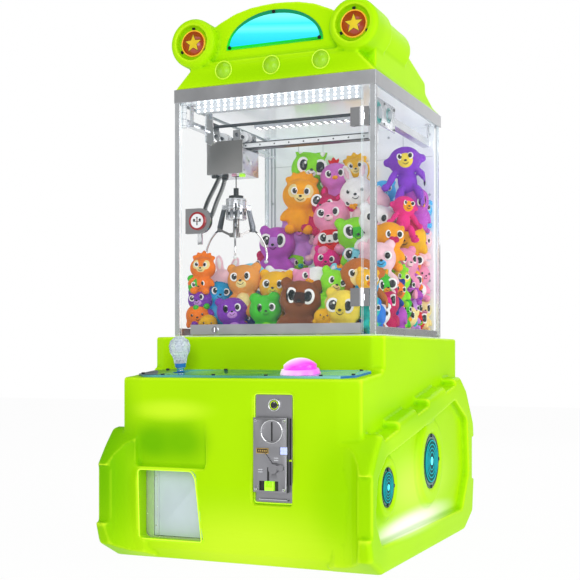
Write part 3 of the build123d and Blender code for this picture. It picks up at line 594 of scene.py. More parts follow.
dressed("carriage_box", "carriage", [STEEL, CHROME, PALE_STEEL], carriage_look, 0.4)
bm = bmesh.new()
for x, y in ((-149, -84), (-126, -84), (-139, -60)):
    brick(bm, x - 5, x + 5, y - 4, y + 4, 705, 710)
for z in (716, 730, 748, 764):
    disc(bm, (-83.6, -90, z), 1.5, 1.0, "X")
brick(bm, -100, -90, -78, -70, 706, 710, 1)
brick(bm, -112, -104, -86, -80, 706.5, 710, 2)
piece(bm, "carriage_fittings", "carriage", [BLACK, GLOW_GREEN, SOFT_PINK], 0.4)


def coiled_cord(name, route, outer, wire, pitch):
    """Curly cord along a smooth line through the route, all in millimetres."""
    curve = bpy.data.curves.new(name + "_line", "CURVE")
    curve.dimensions = "3D"
    spline = curve.splines.new("NURBS")
    spline.points.add(len(route) - 1)
    for point, place in zip(spline.points, route):
        point.co = [c * MM for c in place] + [1]
    spline.order_u = 3
    spline.use_endpoint_u = True
    spline.resolution_u = 16
    line = in_scene(name + "_line", curve)
    mesh = bpy.data.meshes.new_from_object(line.evaluated_get(bpy.context.evaluated_depsgraph_get()))
    points = [v.co.copy() for v in mesh.vertices]
    bpy.data.objects.remove(line)
    bpy.data.meshes.remove(mesh)
    lengths = [0.0]
    for a, b in zip(points, points[1:]):
        lengths.append(lengths[-1] + (b - a).length)
    turns = lengths[-1] / (pitch * MM)
    steps = int(turns * 14)
    side = Vector((0, 1, 0))
    coil, k = [], 0
    for step in range(steps + 1):
        along = lengths[-1] * step / steps
        while k < len(lengths) - 2 and lengths[k + 1] < along:
            k += 1
        share = (along - lengths[k]) / max(1e-9, lengths[k + 1] - lengths[k])
        middle = points[k].lerp(points[k + 1], share)
        side, across = square_to((points[k + 1] - points[k]).normalized(), side)
        angle = 2 * math.pi * turns * step / steps
        coil.append(middle + spoke(side, across, angle) * ((outer - wire) * MM))
    bm = bmesh.new()
    loops = []
    side = Vector((0, 1, 0))
    for j, place in enumerate(coil):
        side, across = square_to((coil[min(j + 1, steps)] - coil[max(j - 1, 0)]).normalized(), side)
        loops.append([bm.verts.new(place + spoke(side, across, a) * wire * MM) for a in around(7)])
    skin(bm, loops)
    for end in (loops[0], loops[-1][::-1]):
        bm.faces.new(end)
    obj = piece(bm, name, "carriage", [RUBBER])
    length = sum((b - a).length for a, b in zip(coil, coil[1:]))
    tuple(coil[0])
    [tuple(p) for p in coil]
    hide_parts("curly_cord")


CORD = [(-142, -76, 709.5), (-150, -80, 690), (-166, -88, 655), (-170, -90, 632), (-160, -92, 622),
        (-151, -90, 634), (-145, -84, 660), (-134, -76, 690), (-131, -74, 709.5)]
coiled_cord("curly_cord_coil", CORD, 4.6, 1.2, 3.3)


# ---- claw
def prong_look(low, high, centre, normal):
    if high[2] < 552:
        return 2
    return 1 if centre[2] > 603 else 0


for name in ("claw_prong_1", "claw_prong_2", "claw_prong_3"):
    dressed(name, name, [CHROME, DARK_STEEL, WHITE], prong_look, 0.3)


def head_look(low, high, centre, normal):
    if centre[2] > 666.5:
        return 1
    return 2 if 633 < centre[2] < 641 and abs(normal[2]) < 0.5 else 0


dressed("claw_head", "claw", [PALE_STEEL, BLACK, DARK_STEEL], head_look, 0.25)
bm = bmesh.new()
for z in (629, 645, 651, 662):
    ring(bm, (-115, -60, z), 19.7, 0.7, "Z")
piece(bm, "claw_bands", "claw", [CHROME])

# ---- door furniture
def lock_look(low, high, centre, normal):
    if normal[1] < -0.9 and centre[1] < -154.5:
        return 1
    return 0 if centre[1] < -152.3 else 2


dressed("door_lock", "door_lock", [RED_RING, WHITE, CHROME], lock_look, 0.5)
bm = bmesh.new()
ring(bm, (-150, -155, 615), 15.2, 1.9)
brick(bm, -151, -149, -155.5, -155, 607, 612, 1)
for x, z in ((-156, 617), (-144, 617)):
    disc(bm, (x, -155.3, z), 2.3, 0.6, "Y", 1)
brick(bm, -158, -142, -155.4, -155, 613.6, 614.6, 1)
disc(bm, (-150, -155.3, 621), 1.6, 0.6, "Y", 1)
piece(bm, "lock_face", "door_lock", [RED_RING, BLACK])

# ---- control panel
PANEL = shift(0, -186, 334) @ Matrix.Rotation(math.atan2(10, 111), 4, "X")      # on the panel's slope


def panel_look(low, high, centre, normal):
    if normal[2] > 0.9 or normal[2] < -0.9:
        return 0
    return 2 if normal[0] > 0.5 or centre[1] > -195 else 1


PANEL_TOP = graded("lit_acrylic", [(0.0, 0.006, 0.02, 0.025), (0.10, 0.01, 0.07, 0.09),
    (0.20, 0.06, 0.36, 0.46), (0.34, 0.0, 0.15, 0.13), (0.56, 0.0, 0.17, 0.08), (0.72, 0.01, 0.20, 0.20),
    (0.86, 0.10, 0.38, 0.46), (1.0, 0.14, 0.42, 0.52)],
    (1, 0, 0), -0.212, 0.212, 0.16, 0.12)
PANEL_RIM = graded("lit_acrylic_edge", [(0.0, 0.02, 0.03, 0.03), (0.12, 0.08, 0.32, 0.36),
    (0.5, 0.05, 0.26, 0.20), (1.0, 0.22, 0.50, 0.58)],
    (1, 0, 0), -0.212, 0.212, 0.25, 0.2)
BLUE_EDGE = glow(surface("blue_lit_edge", (0.01, 0.12, 0.36), 0.3), (0.01, 0.14, 0.42), 0.35)
dressed("control_panel", "cabinet", [PANEL_TOP, PANEL_RIM, BLUE_EDGE], panel_look, 0.3)

# crystal knob on the joystick, lit blue from below
CRYSTAL = glow(clear("crystal", (0.85, 0.92, 0.97), 0.45, 0.04), (0.80, 0.92, 1.0), 0.22)
CRYSTAL_EDGE = surface("crystal_edge", (0.42, 0.48, 0.54), 0.10, 0.3, (400, 0.30))
glow(CRYSTAL_EDGE, (0.8, 0.9, 1.0), 0.10)
knob = dressed("joystick_knob", "joystick", [CRYSTAL], one_look, 0.0)
shade(knob.data, False)
facets = to_object(from_node("joystick_knob"), "knob_facets", [CRYSTAL_EDGE], False)
baked(facets, ("DECIMATE", {"decimate_type": "DISSOLVE", "angle_limit": math.radians(4)}),
      ("WIREFRAME", {"thickness": 0.7 * MM, "offset": 0.0, "use_even_offset": False}))
settled(facets, "joystick")
STICK = PANEL @ shift(-137, -55, 0)
bm = bmesh.new()
ring(bm, (0, 0, 6), 5.6, 1.5, "Z", 0, STICK)
ring(bm, (0, 0, 10), 5.6, 1.3, "Z", 1, STICK)
disc(bm, (0, 0, 17), 9.4, 7, "Z", 0, 24, 10.2, STICK)
disc(bm, (0, 0, 24), 7.5, 6, "Z", 2, 24, 6.5, STICK)
ball(bm, STICK @ Vector((0, 0, 52 * MM)), (9 * MM, 9 * MM, 11 * MM), 0, 0, (9, 6), 3)
piece(bm, "stick_glow", "joystick", [BLUE_EDGE, CYAN_GLOW, BLACK, CRYSTAL_EDGE], 0, False)

# drop button, white with a magenta glow low on its right
BUTTON_TOP = graded("button_cap", [(0.0, 0.75, 0.05, 0.62), (0.22, 0.93, 0.18, 0.80),
    (0.50, 0.97, 0.50, 0.90), (0.72, 0.97, 0.86, 0.96), (1.0, 0.98, 0.97, 0.98)],
    (-0.45, 0.25, 0.86), 0.1830, 0.2080, 0.38, 0.18)
BUTTON_RIM = graded("button_bezel", [(0.0, 0.80, 0.10, 0.75), (0.45, 0.90, 0.35, 0.90),
    (1.0, 0.96, 0.90, 0.97)],
    (-1, 0, 0), -0.14, -0.06, 0.35, 0.2)
dressed("drop_button", "drop_button", [BUTTON_TOP], one_look, 1.5)
dressed("button_housing", "cabinet", [BUTTON_RIM], one_look, 0.6)

# ---- coin unit
def mech_look(low, high, centre, normal):
    if high[0] - low[0] < 6:
        return 1
    if high[0] - low[0] < 20:
        return 2
    if 41 < centre[0] < 65 and 198.5 < centre[2] < 208.5 and centre[1] < -303.2:
        return 3
    inside = centre[1] > -302.5 and 137 < centre[2] < 253 and 46 < centre[0] < 98
    return 4 if inside and abs(normal[1]) < 0.9 else 0


dressed("coin_mech", "coin_door",
        [STEEL_UP, LED_WINDOW, GLOW_GREEN, GOLD, DARK_STEEL], mech_look, 0.35)
bm = bmesh.new()
# black blocks in the coin slot and in the openings by the return cup: painted shade inside the holes
brick(bm, 68.6, 71.4, -303.2, -299, 220, 252)
brick(bm, 47.2, 57.5, -300, -296, 137.3, 152.8)
brick(bm, 74.5, 81.8, -300, -296, 137.3, 152.8)
brick(bm, 61.7, 65.3, -302.6, -299, 153, 176)
brick(bm, 84.7, 96.8, -300.6, -299.8, 197.7, 210.3, 4)
brick(bm, 43.4, 62.6, -303.9, -303.2, 200.4, 206.6, 3)
for x, z in ((41, 254), (92, 254), (41, 139), (92, 139)):
    disc(bm, (x, -305, z), 2.7, 1.0, "Y", 1, 20, 2.2)
    brick(bm, x - 2, x + 2, -305.6, -305.3, z - 0.4, z + 0.4)
    brick(bm, x - 0.4, x + 0.4, -305.6, -305.3, z - 2, z + 2)
ring(bm, (70, -303.6, 236), 19.2, 0.9, "Y", 1)
for x, z in ((49, 172), (49, 168), (78, 192), (78, 188)):
    brick(bm, x - 4, x + 4, -303.25, -302.9, z - 0.7, z + 0.7, 2)
for k in range(5):
    brick(bm, 45.5 + k * 3.4, 47.6 + k * 3.4, -304.1, -303.8, 202, 205, 5)
piece(bm, "coin_details", "coin_door",
      [BLACK, CHROME, PALE_STEEL, BROWN_PLATE, LED_WINDOW, GOLD], 0.12)
bm = bmesh.new()
# black strip in the gap right of the coin plate: painted shadow
brick(bm, 98.6, 101.4, -292.6, -290.5, 146.2, 257.8)
brick(bm, 97.5, 102.5, -293.6, -293, 186, 189, 1)
brick(bm, 44, 95, -298.3, -293.2, 121, 122, 2)
piece(bm, "coin_door_details", "coin_door", [BLACK, GREEN, PALE_STEEL], 0.2)


def cam_look(low, high, centre, normal):
    return 1 if centre[1] < -295.5 else 0


dressed("coin_door_lock", "coin_door_lock", [CHROME, DARK_STEEL], cam_look, 0.5)
bm = bmesh.new()
ring(bm, (71, -296, 280), 9.8, 1.3)
ring(bm, (71, -296.2, 280), 7.0, 0.8, "Y", 1)
disc(bm, (69.5, -296.4, 280), 3.4, 1.0, "Y", 2)
brick(bm, 70.5, 80, -297, -296, 278.8, 281.2, 2)
piece(bm, "coin_lock_face", "coin_door_lock", [CHROME, GREEN, BLACK])

# glowing beads on the lips round the coin unit's recess and the prize opening: a painted highlight
def hoop(bm, points, radius):
    """Closed bead of round section through points of the x-z plane given as (x, y, z) in millimetres."""
    loops = []
    inward = Vector((0, 1, 0))
    for k, point in enumerate(points):
        along = (Vector(points[(k + 1) % len(points)]) - Vector(points[k - 1])).normalized()
        across = inward.cross(along).normalized()
        loops.append([bm.verts.new((Vector(point) + spoke(across, inward, a) * radius) * MM)
                      for a in around(8)])
    skin(bm, loops + loops[:1])


def rounded(corners, radius, depth):
    """Outline through corners of the x-z plane with rounded corners; depth(z) is its y."""
    out = []
    for k, corner in enumerate(corners):
        here = Vector(corner)
        before = (Vector(corners[k - 1]) - here).normalized() * radius
        after = (Vector(corners[(k + 1) % len(corners)]) - here).normalized() * radius
        for t in (0.0, 0.2, 0.4, 0.6, 0.8, 1.0):
            point = here + before * (1 - t) ** 2 + after * t ** 2
            out.append((point.x, depth(point.y), point.y))
    return out


def front_face(z):
    """Depth of the base's front at a height."""
    profile = ((25, -290), (60, -300), (140, -303), (190, -297))
    for (z0, y0), (z1, y1) in zip(profile, profile[1:]):
        if z <= z1:
            return y0 + (y1 - y0) * (z - z0) / (z1 - z0)
    return profile[-1][1]


LIP_PAINTED_HIGHLIGHT = glow(surface("lip_painted_highlight", (0.60, 0.98, 0.02), 0.3), (0.62, 1.0, 0.03), 0.30)
bm = bmesh.new()
hoop(bm, rounded([(33.6, 115), (105.4, 115), (105.4, 299), (33.6, 299)], 6, lambda z: -293.4), 1.2)
OPENING = [(-190, 163), (-84, 163), (-75, 150), (-70, 108), (-66, 40), (-190, 40)]
hoop(bm, rounded(OPENING, 6, lambda z: front_face(z) - 0.2), 1.3)
piece(bm, "lip_painted_highlights", "cabinet", [LIP_PAINTED_HIGHLIGHT])

# ---- prize flap
def flap_look(low, high, centre, normal):
    return 1 if centre[0] < -170 or centre[2] < 47 else 0


dressed("prize_flap", "prize_flap", [FLAP_FACE, PALE_STEEL], flap_look, 0.4)
bm = bmesh.new()
brick(bm, -166.4, -165.6, -268.1, -267.7, 44, 161)
brick(bm, -169.5, -168.3, -268.1, -267.7, 44, 161, 1)
for z in (60, 148):
    disc(bm, (-172, -268.1, z), 1.6, 0.6, "Y", 1)
piece(bm, "flap_seam", "prize_flap", [SHADOW_GREY, PALE_STEEL], 0.1)

# ---- portholes
SKIRT_X = 246.0
for number, (y, z, radius) in enumerate(((-229, 143, 34), (30, 165, 52))):
    for side in (-1, 1):
        bm = bmesh.new()
        disc(bm, (side * (SKIRT_X + 1.6), y, z), radius - 0.4, 3, "X", 0, 64)
        ring(bm, (side * (SKIRT_X + 3.0), y, z), radius * 0.93, 0.9, "X", 5)
        disc(bm, (side * (SKIRT_X + 3.2), y, z), radius * 0.80, 1.0, "X", 1, 64)
        disc(bm, (side * (SKIRT_X + 3.7), y, z), radius * 0.50, 1.2, "X", 2, 64)
        for share in (0.74, 0.60, 0.46, 0.32):
            ring(bm, (side * (SKIRT_X + 4.1), y, z), radius * share, radius * 0.026, "X", 3)
        disc(bm, (side * (SKIRT_X + 4.4), y, z), radius * 0.15, 0.9, "X", 4)
        name = f"porthole_{number}_{'left' if side < 0 else 'right'}"
        cover = piece(bm, name, "cabinet",
                      [COVER_GREEN, TEAL_GLOW, BLUE_GLOW, CYAN_GLOW, CYAN_BRIGHT, BLACK], 0.2)
        if number == 0 and side == 1:
            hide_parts("porthole_covers")

# ---- lit sign and eyes
SIGN_FACE = graded("sign_lens", [(0.0, 0.01, 0.50, 0.80), (0.30, 0.03, 0.60, 0.82),
    (0.45, 0.12, 0.74, 0.86), (0.60, 0.03, 0.62, 0.80), (0.85, 0.16, 0.74, 0.76),
    (1.0, 0.10, 0.60, 0.60)],
    (0.10, 0, 1), 0.935, 0.995, 0.45, 0.15)
SIGN_RIM = graded("sign_border", [(0.0, 0.0, 0.62, 0.02), (0.22, 0.0, 0.52, 0.03),
    (0.45, 0.0, 0.26, 0.08), (1.0, 0.0, 0.20, 0.09)],
    (0.15, 0, 1), 0.928, 1.005, 0.25, 0.2)


def sign_look(low, high, centre, normal):
    inside = math.hypot(centre[0] / 90.0, (centre[2] - 938) / 52.0) < 0.999
    return 0 if inside and centre[2] > 938.01 else 1


dressed("marquee_lens", "cabinet", [SIGN_FACE, SIGN_RIM], sign_look, 0.4)


# round dimples with a raised lip along the fascia: darker green inside as painted shade, lighter green on the
# lip as a painted highlight
bm = bmesh.new()
for x in (-97, 0, 97):
    disc(bm, (x, -150.2, 893), 16, 1.2, "Y", 0, 48)
    ring(bm, (x, -150.3, 893), 16.4, 1.2, "Y", 1)
DIMPLE_PAINTED_SHADE = surface("dimple_painted_shade", (0.33, 0.68, 0.0), 0.38)
DIMPLE_LIP_PAINTED_HIGHLIGHT = surface("dimple_lip_painted_highlight", (0.62, 0.93, 0.03), 0.36)
piece(bm, "fascia_dimples", "cabinet", [DIMPLE_PAINTED_SHADE, DIMPLE_LIP_PAINTED_HIGHLIGHT])


def star(bm, centre, outer, inner, depth, index):
    """Five-pointed star facing -Y with a raised middle."""
    x0, y0, z0 = centre
    middle = bm.verts.new(Vector((x0, y0 - depth, z0)) * MM)
    rim = []
    for k in range(10):
        angle = math.radians(90 + 36 * k)
        reach = outer if k % 2 == 0 else inner
        tip = Vector((x0 + reach * math.cos(angle), y0, z0 + reach * math.sin(angle)))
        rim.append(bm.verts.new(tip * MM))
    for k in range(10):
        bm.faces.new((middle, rim[(k + 1) % 10], rim[k])).material_index = index


EYE_Z = 949.0
for side in (-1, 1):
    bm = bmesh.new()
    x = side * 160
    disc(bm, (x, -149.5, EYE_Z), 25, 3, "Y", 0, 64)
    disc(bm, (x, -151.1, EYE_Z), 22.5, 0.5, "Y", 1, 64)
    ring(bm, (x, -151.0, EYE_Z), 23.8, 1.2, "Y", 2)
    star(bm, (x, -151.4, EYE_Z), 18.6, 8.6, 0.5, 3)
    star(bm, (x, -151.6, EYE_Z), 16.8, 7.4, 0.9, 4)
    # dark green ring in the groove round the eye: painted shade
    ring(bm, (x, -148.4, EYE_Z), 31.2, 0.7, "Y", 5)
    lamp = piece(bm, f"eye_{'left' if side < 0 else 'right'}", "cabinet",
                 [AMBER_RIM, EYE_RED, AMBER_RIM, STAR_EDGE, STAR_YELLOW, GROOVE_PAINTED_SHADE])
    if side == 1:
        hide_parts("eye_discs")


# ---- plush toys
def plush(name, color, fuzz=0.5):
    """Short pile fabric: soft sheen, uneven nap and a fine fuzzy bump."""
    mat = surface(name, color, 0.85, 0, (45, 0.13), (1500, fuzz), 0.1, Sheen_Weight=0.18, Sheen_Roughness=0.4,
                  Specular_IOR_Level=0.15)
    mat.node_tree.nodes["Principled BSDF"].inputs["Sheen Tint"].default_value = [
        min(1, c * 0.5 + 0.5) for c in color] + [1]
    return mat


COLORS = {
    "lime": (0.36, 0.78, 0.05), "white": (0.92, 0.91, 0.90), "pinkpurple": (0.66, 0.26, 0.62),
    "red": (0.72, 0.03, 0.05), "yellow": (0.90, 0.58, 0.04), "orange": (0.90, 0.30, 0.02),
    "sky": (0.16, 0.55, 0.85), "purple": (0.30, 0.09, 0.58), "cream": (0.92, 0.78, 0.42),
    "amber": (0.93, 0.47, 0.02), "pink": (0.88, 0.42, 0.60), "palepink": (0.90, 0.66, 0.72),
    "magenta": (0.80, 0.06, 0.34), "grass": (0.10, 0.52, 0.06), "lavender": (0.62, 0.36, 0.74),
    "orchid": (0.50, 0.14, 0.55), "hotpink": (0.84, 0.03, 0.38), "aqua": (0.35, 0.76, 0.86),
    "tan": (0.80, 0.42, 0.13), "violet": (0.26, 0.07, 0.45), "brown": (0.24, 0.095, 0.035),
    "darkbrown": (0.05, 0.025, 0.02), "turquoise": (0.04, 0.44, 0.72), "rust": (0.50, 0.20, 0.045),
    "crimson": (0.52, 0.02, 0.16), "teal": (0.04, 0.48, 0.46), "navy": (0.03, 0.07, 0.30),
    "blue": (0.05, 0.28, 0.72), "lemon": (0.92, 0.76, 0.16)}
PLUSH = {key: plush("plush_" + key, [max(value) * (c / max(value)) ** 1.4 for c in value])
         for key, value in COLORS.items()}
EYE_WHITE = surface("eye_white", (0.93, 0.93, 0.92), 0.35, 0, (60, 0.03), (500, 0.03))
EYE_BLACK = surface("eye_black", (0.008, 0.008, 0.010), 0.16, 0, (60, 0.03), (500, 0.02))

HEAD = (0.50, 0.43, 0.45)


def both_sides(parts):
    """(centre, radii, lean) parts with the mirror image of each; a lean left out is 0."""
    out = []
    for centre, radii, *rest in parts:
        lean = rest[0] if rest else 0
        out.append((centre, radii, lean))
        if centre[0]:
            out.append(((-centre[0], centre[1], centre[2]), radii, -lean))
    return out


def on_head(x, z, lift):
    """Point on the front of the head, lifted off it."""
    inside = max(0.02, 1 - (x / HEAD[0]) ** 2 - (z / HEAD[2]) ** 2)
    return (x, -HEAD[1] * math.sqrt(inside) - lift, z)


def face_parts(bm, kind):
    """Eyes, muzzle and mouth on the front of the head. Slots: 2 accent, 3 eye white, 4 eye black."""
    gap, high, size = {"ring": (0.20, 0.04, 1.45), "dot": (0.20, 0.02, 0.55), "plate": (0.16, 0.06, 0.85),
                       "wide": (0.23, 0.03, 1.7)}.get(kind, (0.19, 0.04, 1.0))
    for side in (-1, 1):
        spot = on_head(side * gap, high, 0.015)
        turn = -side * 24
        if size > 0.7:
            ball(bm, spot, (0.115 * size, 0.035, 0.125 * size), 0, turn, (16, 9), 3)
        spot = on_head(side * gap * 0.96, high, 0.040)
        ball(bm, spot, (0.075 * size, 0.035, 0.085 * size), 0, turn, (14, 9), 4)
        spot = on_head(side * gap * 0.90 + 0.02, high + 0.035 * size, 0.070)
        ball(bm, spot, (0.022 * size, 0.012, 0.024 * size), 0, turn, (8, 6), 3)
    if kind == "heart":
        for side in (-1, 1):
            ball(bm, on_head(side * 0.075, -0.12, 0.02), (0.10, 0.05, 0.09), side * 40, 0, (14, 9), 2)
        ball(bm, on_head(0, -0.19, 0.02), (0.075, 0.05, 0.10), 0, 0, (14, 9), 2)
    elif kind == "beak":
        ball(bm, on_head(0, -0.10, 0.06), (0.09, 0.11, 0.06), 0, 0, (12, 8), 2)
    else:
        ball(bm, on_head(0, -0.075, 0.045), (0.045, 0.03, 0.032), 0, 0, (12, 8), 4)
        for step in range(-3, 4):
            x = step * 0.026
            ball(bm, on_head(x, -0.185 + 7 * x * x, 0.030), (0.017, 0.014, 0.011), 0, 0, (8, 5), 4)


BODY = [((0, 0.02, -0.66), (0.34, 0.30, 0.38)), ((0.36, -0.10, -0.56), (0.12, 0.12, 0.22), -38),
        ((0.23, -0.24, -0.95), (0.15, 0.20, 0.14))]
LONG = [((0, 0.02, -0.66), (0.30, 0.26, 0.40)), ((0.46, -0.10, -0.52), (0.11, 0.11, 0.34), -32),
        ((0.68, -0.14, -0.78), (0.13, 0.12, 0.13)), ((0.30, -0.22, -1.12), (0.14, 0.15, 0.34), -18),
        ((0.42, -0.30, -1.42), (0.17, 0.22, 0.12))]
ROUND_EAR, BELLY = ((0.37, 0.02, 0.36), (0.15, 0.10, 0.15)), ((0, -0.20, -0.62), (0.22, 0.12, 0.26))
KINDS = {
    # kind: (body parts, extra parts in the body colour, parts in the second colour, face)
    "bear": (BODY, [ROUND_EAR], [((0, -0.30, -0.13), (0.20, 0.14, 0.15)), BELLY], "eyes"),
    "mask": (BODY, [ROUND_EAR], [((0, -0.17, 0.0), (0.37, 0.28, 0.25))], "ring"),
    "cat": (BODY, [((0.30, 0.02, 0.44), (0.15, 0.09, 0.25), 22)],
            [((0, -0.30, -0.13), (0.19, 0.14, 0.13)),
             ((0.30, -0.055, 0.44), (0.08, 0.05, 0.16), 22)], "wide"),
    "bunny": (BODY, [((0.22, 0.04, 0.58), (0.13, 0.09, 0.27), 14)],
              [((0.22, -0.035, 0.58), (0.07, 0.04, 0.19), 14), BELLY], "dot"),
    "bird": (BODY[:1] + [((0.36, 0.0, -0.55), (0.10, 0.20, 0.30), -18),
                         ((0.18, -0.20, -1.0), (0.12, 0.18, 0.08))], [],
             [((0.0, 0.0, 0.50), (0.07, 0.06, 0.16)),
              ((0.10, 0.0, 0.47), (0.06, 0.06, 0.14), 30)], "beak"),
    "monkey": (LONG, [((0.50, 0.03, 0.02), (0.15, 0.09, 0.15))],
               [((0, -0.15, -0.02), (0.35, 0.30, 0.33))], "plate"),
    "pig": (BODY, [((0.34, -0.02, 0.38), (0.15, 0.08, 0.17), 30)],
            [((0, -0.40, -0.10), (0.13, 0.10, 0.10))], "eyes"),
    "flower": (BODY, [((0.0, 0.02, 0.52), (0.10, 0.08, 0.22)),
                      ((0.15, 0.02, 0.48), (0.10, 0.08, 0.20), 38),
                      ((0.30, 0.02, 0.40), (0.10, 0.08, 0.17), 62)],
               [((0.15, -0.17, 0.04), (0.22, 0.25, 0.28)),
                ((0, -0.17, -0.08), (0.28, 0.27, 0.22))], "plate"),
    "puff": (BODY[:1] + BODY[2:], [((0.44, 0.0, -0.30), (0.13, 0.12, 0.13))], [], "dot"),
    "heart": (BODY, [((0.40, 0.02, 0.20), (0.13, 0.09, 0.18), 30)], [], "heart"),
    "frog": (BODY, [((0.28, -0.10, 0.36), (0.19, 0.16, 0.17))], [BELLY], "eyes"),
}


def toy_mesh(kind):
    """Plush toy one head wide, its head at the origin, facing -Y. Slots: body, second, accent, eyes."""
    body, extra, second, look = KINDS[kind]
    layers = []
    for index, parts in ((0, [((0, 0, 0), HEAD)] + body + extra), (1, second)):
        if not parts:
            continue
        bm = bmesh.new()
        for centre, radii, lean in both_sides(parts):
            ball(bm, centre, radii, lean)
        obj = to_object(bm, "toy_form", [])
        baked(obj, ("REMESH", {"mode": "VOXEL", "voxel_size": 0.042}),
              ("SMOOTH", {"factor": 0.5, "iterations": 5 if index == 0 else 2}))
        layers.append((index, obj))
    bm = bmesh.new()
    for index, obj in layers:
        start = len(bm.faces)
        bm.from_mesh(obj.data)
        bm.faces.ensure_lookup_table()
        for face in bm.faces[start:]:
            face.material_index = index
        bpy.data.objects.remove(obj)
    face_parts(bm, look)
    mesh = bpy.data.meshes.new("toy_" + kind)
    bm.to_mesh(mesh)
    bm.free()
    shade(mesh)
    return mesh


FORMS = {kind: toy_mesh(kind) for kind in KINDS}
DECK, CEILING = 0.4015, 0.80
ROOM = [(-0.190, 0.190), (-0.140, 0.255), (DECK, CEILING)]   # inside of the toy chamber, in metres
placed = []


def toy(kind, spot, width, colors, turn, tip, roll):
    """One plush toy. spot is its head's centre and width its head's width, in millimetres.

    colors are the body's, the second parts' and, amber when left out, the accent's.
    """
    mesh = FORMS[kind].copy()
    body, second, accent = (*colors, "amber")[:3]
    for mat in (PLUSH[body], PLUSH[second], PLUSH[accent], EYE_WHITE, EYE_BLACK):
        mesh.materials.append(mat)
    size = width * MM
    place = shift(*spot) @ spin(turn, "Z") @ spin(tip, "X") @ spin(roll, "Y")
    squish = 1 + random.uniform(-0.05, 0.05)
    mesh.transform(place @ Matrix.Diagonal((size, size, size * squish, 1)))
    for vert in mesh.vertices:
        for axis, (low, high) in enumerate(ROOM):
            vert.co[axis] = min(max(vert.co[axis], low), high)
    obj = in_scene(f"toy_{len(placed):02d}_{kind}", mesh)
    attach(obj, "cabinet")
    placed.append(obj)


# toys in view, front row first: kind, head centre and head width in mm, colours
SHOWN = """
flower -160 -112 530 46 orange cream
frog -168 -112 496 40 grass lime
bear -166 -110 470 46 violet lavender
puff -168 -112 440 48 orange red
puff -146 -118 425 34 yellow white
bear -140 -84 480 54 turquoise sky
bear -84 -88 506 60 tan cream
bear -24 -74 494 60 yellow lemon
bear -96 -114 446 56 violet lavender
frog -28 -114 448 56 grass lime
mask 39 -104 466 72 brown darkbrown
puff 54 -60 500 60 white white
bird 98 -60 506 42 turquoise amber
monkey 140 -64 510 68 rust cream
mask 124 -102 450 66 lemon lemon
puff 88 -118 434 30 yellow white
bunny -146 -48 500 62 palepink white
puff -96 -30 516 56 aqua white
pig -50 0 505 58 white pink
bear 0 -30 500 52 hotpink pink
cat 48 0 500 54 aqua white
bear 100 10 505 58 sky white
mask -128 166 600 72 orchid lavender
pig -96 200 632 66 lavender pinkpurple
bear -12 160 562 54 hotpink magenta
mask -6 172 602 60 red white
mask 52 165 612 76 lime grass
cat 52 160 566 54 aqua white
flower -79 180 702 74 amber cream
cat -76 218 764 72 lime white
bird -14 215 742 62 pinkpurple red amber
pig -8 178 652 74 pink palepink
flower 28 228 756 54 yellow cream
bunny 42 200 700 72 white palepink
bear 90 222 706 50 sky aqua
bear 98 160 634 72 white palepink
monkey 150 180 760 62 purple lemon
monkey 156 158 664 50 magenta amber
puff 150 196 604 74 yellow yellow
pig 160 135 548 66 pink palepink
bear 146 20 548 66 palepink sky
heart 156 60 594 62 amber white crimson
flower 165 92 512 50 lime lemon
bear 168 60 490 44 orange rust
cat 164 172 513 48 orchid pink
mask 163 6 462 62 crimson magenta
frog 170 98 452 42 grass lime
bear 170 150 455 42 lavender teal
cat 170 232 458 44 cream pink
bunny 166 228 530 50 pink white
bear 168 -36 440 44 white pink
frog 168 -92 446 44 teal lime
bear 166 -96 500 44 yellow orange
pig 168 232 600 50 palepink pink
bear 168 236 666 48 sky white
"""
for row in SHOWN.split("\n")[1:-1]:
    kind, *numbers = row.split()[:5]
    x, y, z, width = map(int, numbers)
    turn = 48 + random.uniform(-12, 12) if x > 155 else 20 + random.uniform(-14, 14)
    width *= 1.10 if x < 155 else 1.0
    toy(kind, (x, y, z), width, row.split()[5:], turn, random.uniform(-8, 4), random.uniform(-9, 9))

# the heap under and behind them
KIND_NAMES = sorted(kind for kind in KINDS if kind != "monkey")
COLOR_NAMES = sorted(COLORS)
for height in (440, 496, 556, 620, 682):
    for column in range(6):
        for row in range(5):
            x = -160 + column * 64 + random.uniform(-8, 8)
            y = -70 + row * 66 + random.uniform(-8, 8)
            over_chute = x < -40 and y < 100
            if height > 500 and y < 150:
                continue
            if over_chute or (height > 560 and x < -60) or (height > 620 and abs(x) > 110 and x < 0):
                continue
            kind = random.choice(KIND_NAMES)
            toy(kind, (x, min(y, 222), height + random.uniform(-6, 6)), random.uniform(52, 62),
                [random.choice(COLOR_NAMES), random.choice(COLOR_NAMES)], random.uniform(-30, 60),
                random.uniform(-15, 10), random.uniform(-25, 25))
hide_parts("toys_front_heap")
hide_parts("toys_tall_piles")


# ---- light, floor and camera
def area(name, location, target, size, power):
    light = bpy.data.lights.new(name, "AREA")
    light.shape = "RECTANGLE"
    light.size, light.size_y = size
    light.energy = power
    obj = in_scene(name, light)
    obj.location = location
    obj.rotation_euler = (Vector(target) - Vector(location)).to_track_quat("-Z", "Y").to_euler()


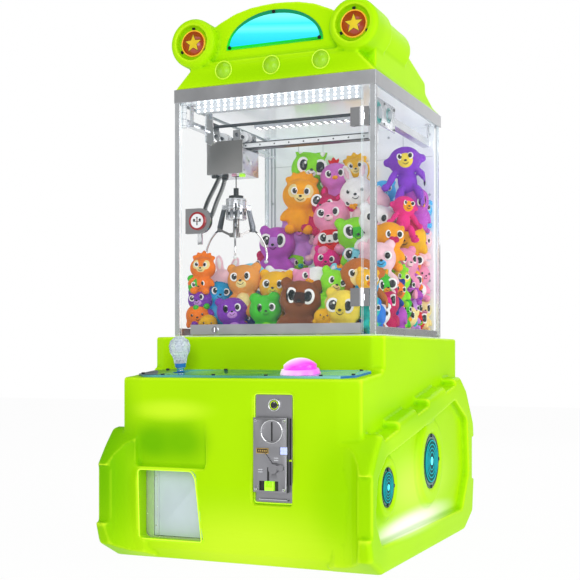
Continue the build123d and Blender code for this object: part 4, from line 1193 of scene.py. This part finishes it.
area("key", (0.9, -3.0, 1.2), (0, 0, 0.35), (1.8, 1.6), 42)
area("left", (-2.6, -1.2, 1.2), (0, 0, 0.45), (1.5, 2.0), 10)
area("right", (2.9, -0.3, 0.9), (0, 0, 0.3), (1.5, 1.8), 40)
area("top", (0, -0.3, 2.8), (0, 0, 0.5), (2.2, 2.2), 20)
area("back", (0, 2.6, 1.6), (0, 0, 0.5), (2.0, 1.6), 14)

def mixed(tree, share, one, two, output):
    """Sends a mix of two shaders to a tree's output node."""
    mix = node(tree, "MixShader", Fac=share)
    tree.links.new(one, mix.inputs[1])
    tree.links.new(two, mix.inputs[2])
    tree.links.new(mix.outputs["Shader"], tree.nodes[output].inputs["Surface"])


# the world lights the object at 0.30 and shows white behind it; the floor is almost pure white
world = bpy.data.worlds.new("studio")
bpy.context.scene.world = world
world.use_nodes = True
tree = world.node_tree
background = tree.nodes["Background"]
background.inputs["Color"].default_value = (1, 1, 1, 1)
background.inputs["Strength"].default_value = 0.30
white_out = node(tree, "Background", Color=(1, 1, 1, 1), Strength=1.0)
mixed(tree, node(tree, "LightPath").outputs["Is Camera Ray"], background.outputs["Background"],
      white_out.outputs["Background"], "World Output")

floor_bm = bmesh.new()
bmesh.ops.create_grid(floor_bm, x_segments=1, y_segments=1, size=6.0)
floor_mat = surface("floor_white", (0.95, 0.95, 0.95), 0.6, 0, (3, 0.01), (200, 0.0))
floor = to_object(floor_bm, "floor", [floor_mat])
tree = floor_mat.node_tree
mixed(tree, 0.97, tree.nodes["Principled BSDF"].outputs["BSDF"],
      node(tree, "Emission", Strength=1.0).outputs["Emission"], "Material Output")

SENSOR, PICTURE, FOCAL_PIXELS = 36.0, 580, 1117.8
camera = bpy.data.cameras.new("camera")
camera.sensor_width = SENSOR
camera.lens = SENSOR * FOCAL_PIXELS / PICTURE
camera.shift_y = 66.2 / PICTURE
camera_obj = in_scene("camera", camera)
camera_obj.location = (0.8369, -2.0066, 0.362)
camera_obj.rotation_euler = (math.radians(90), 0, math.radians(23.3))
bpy.context.scene.camera = camera_obj
bpy.context.scene.view_settings.view_transform = "Standard"
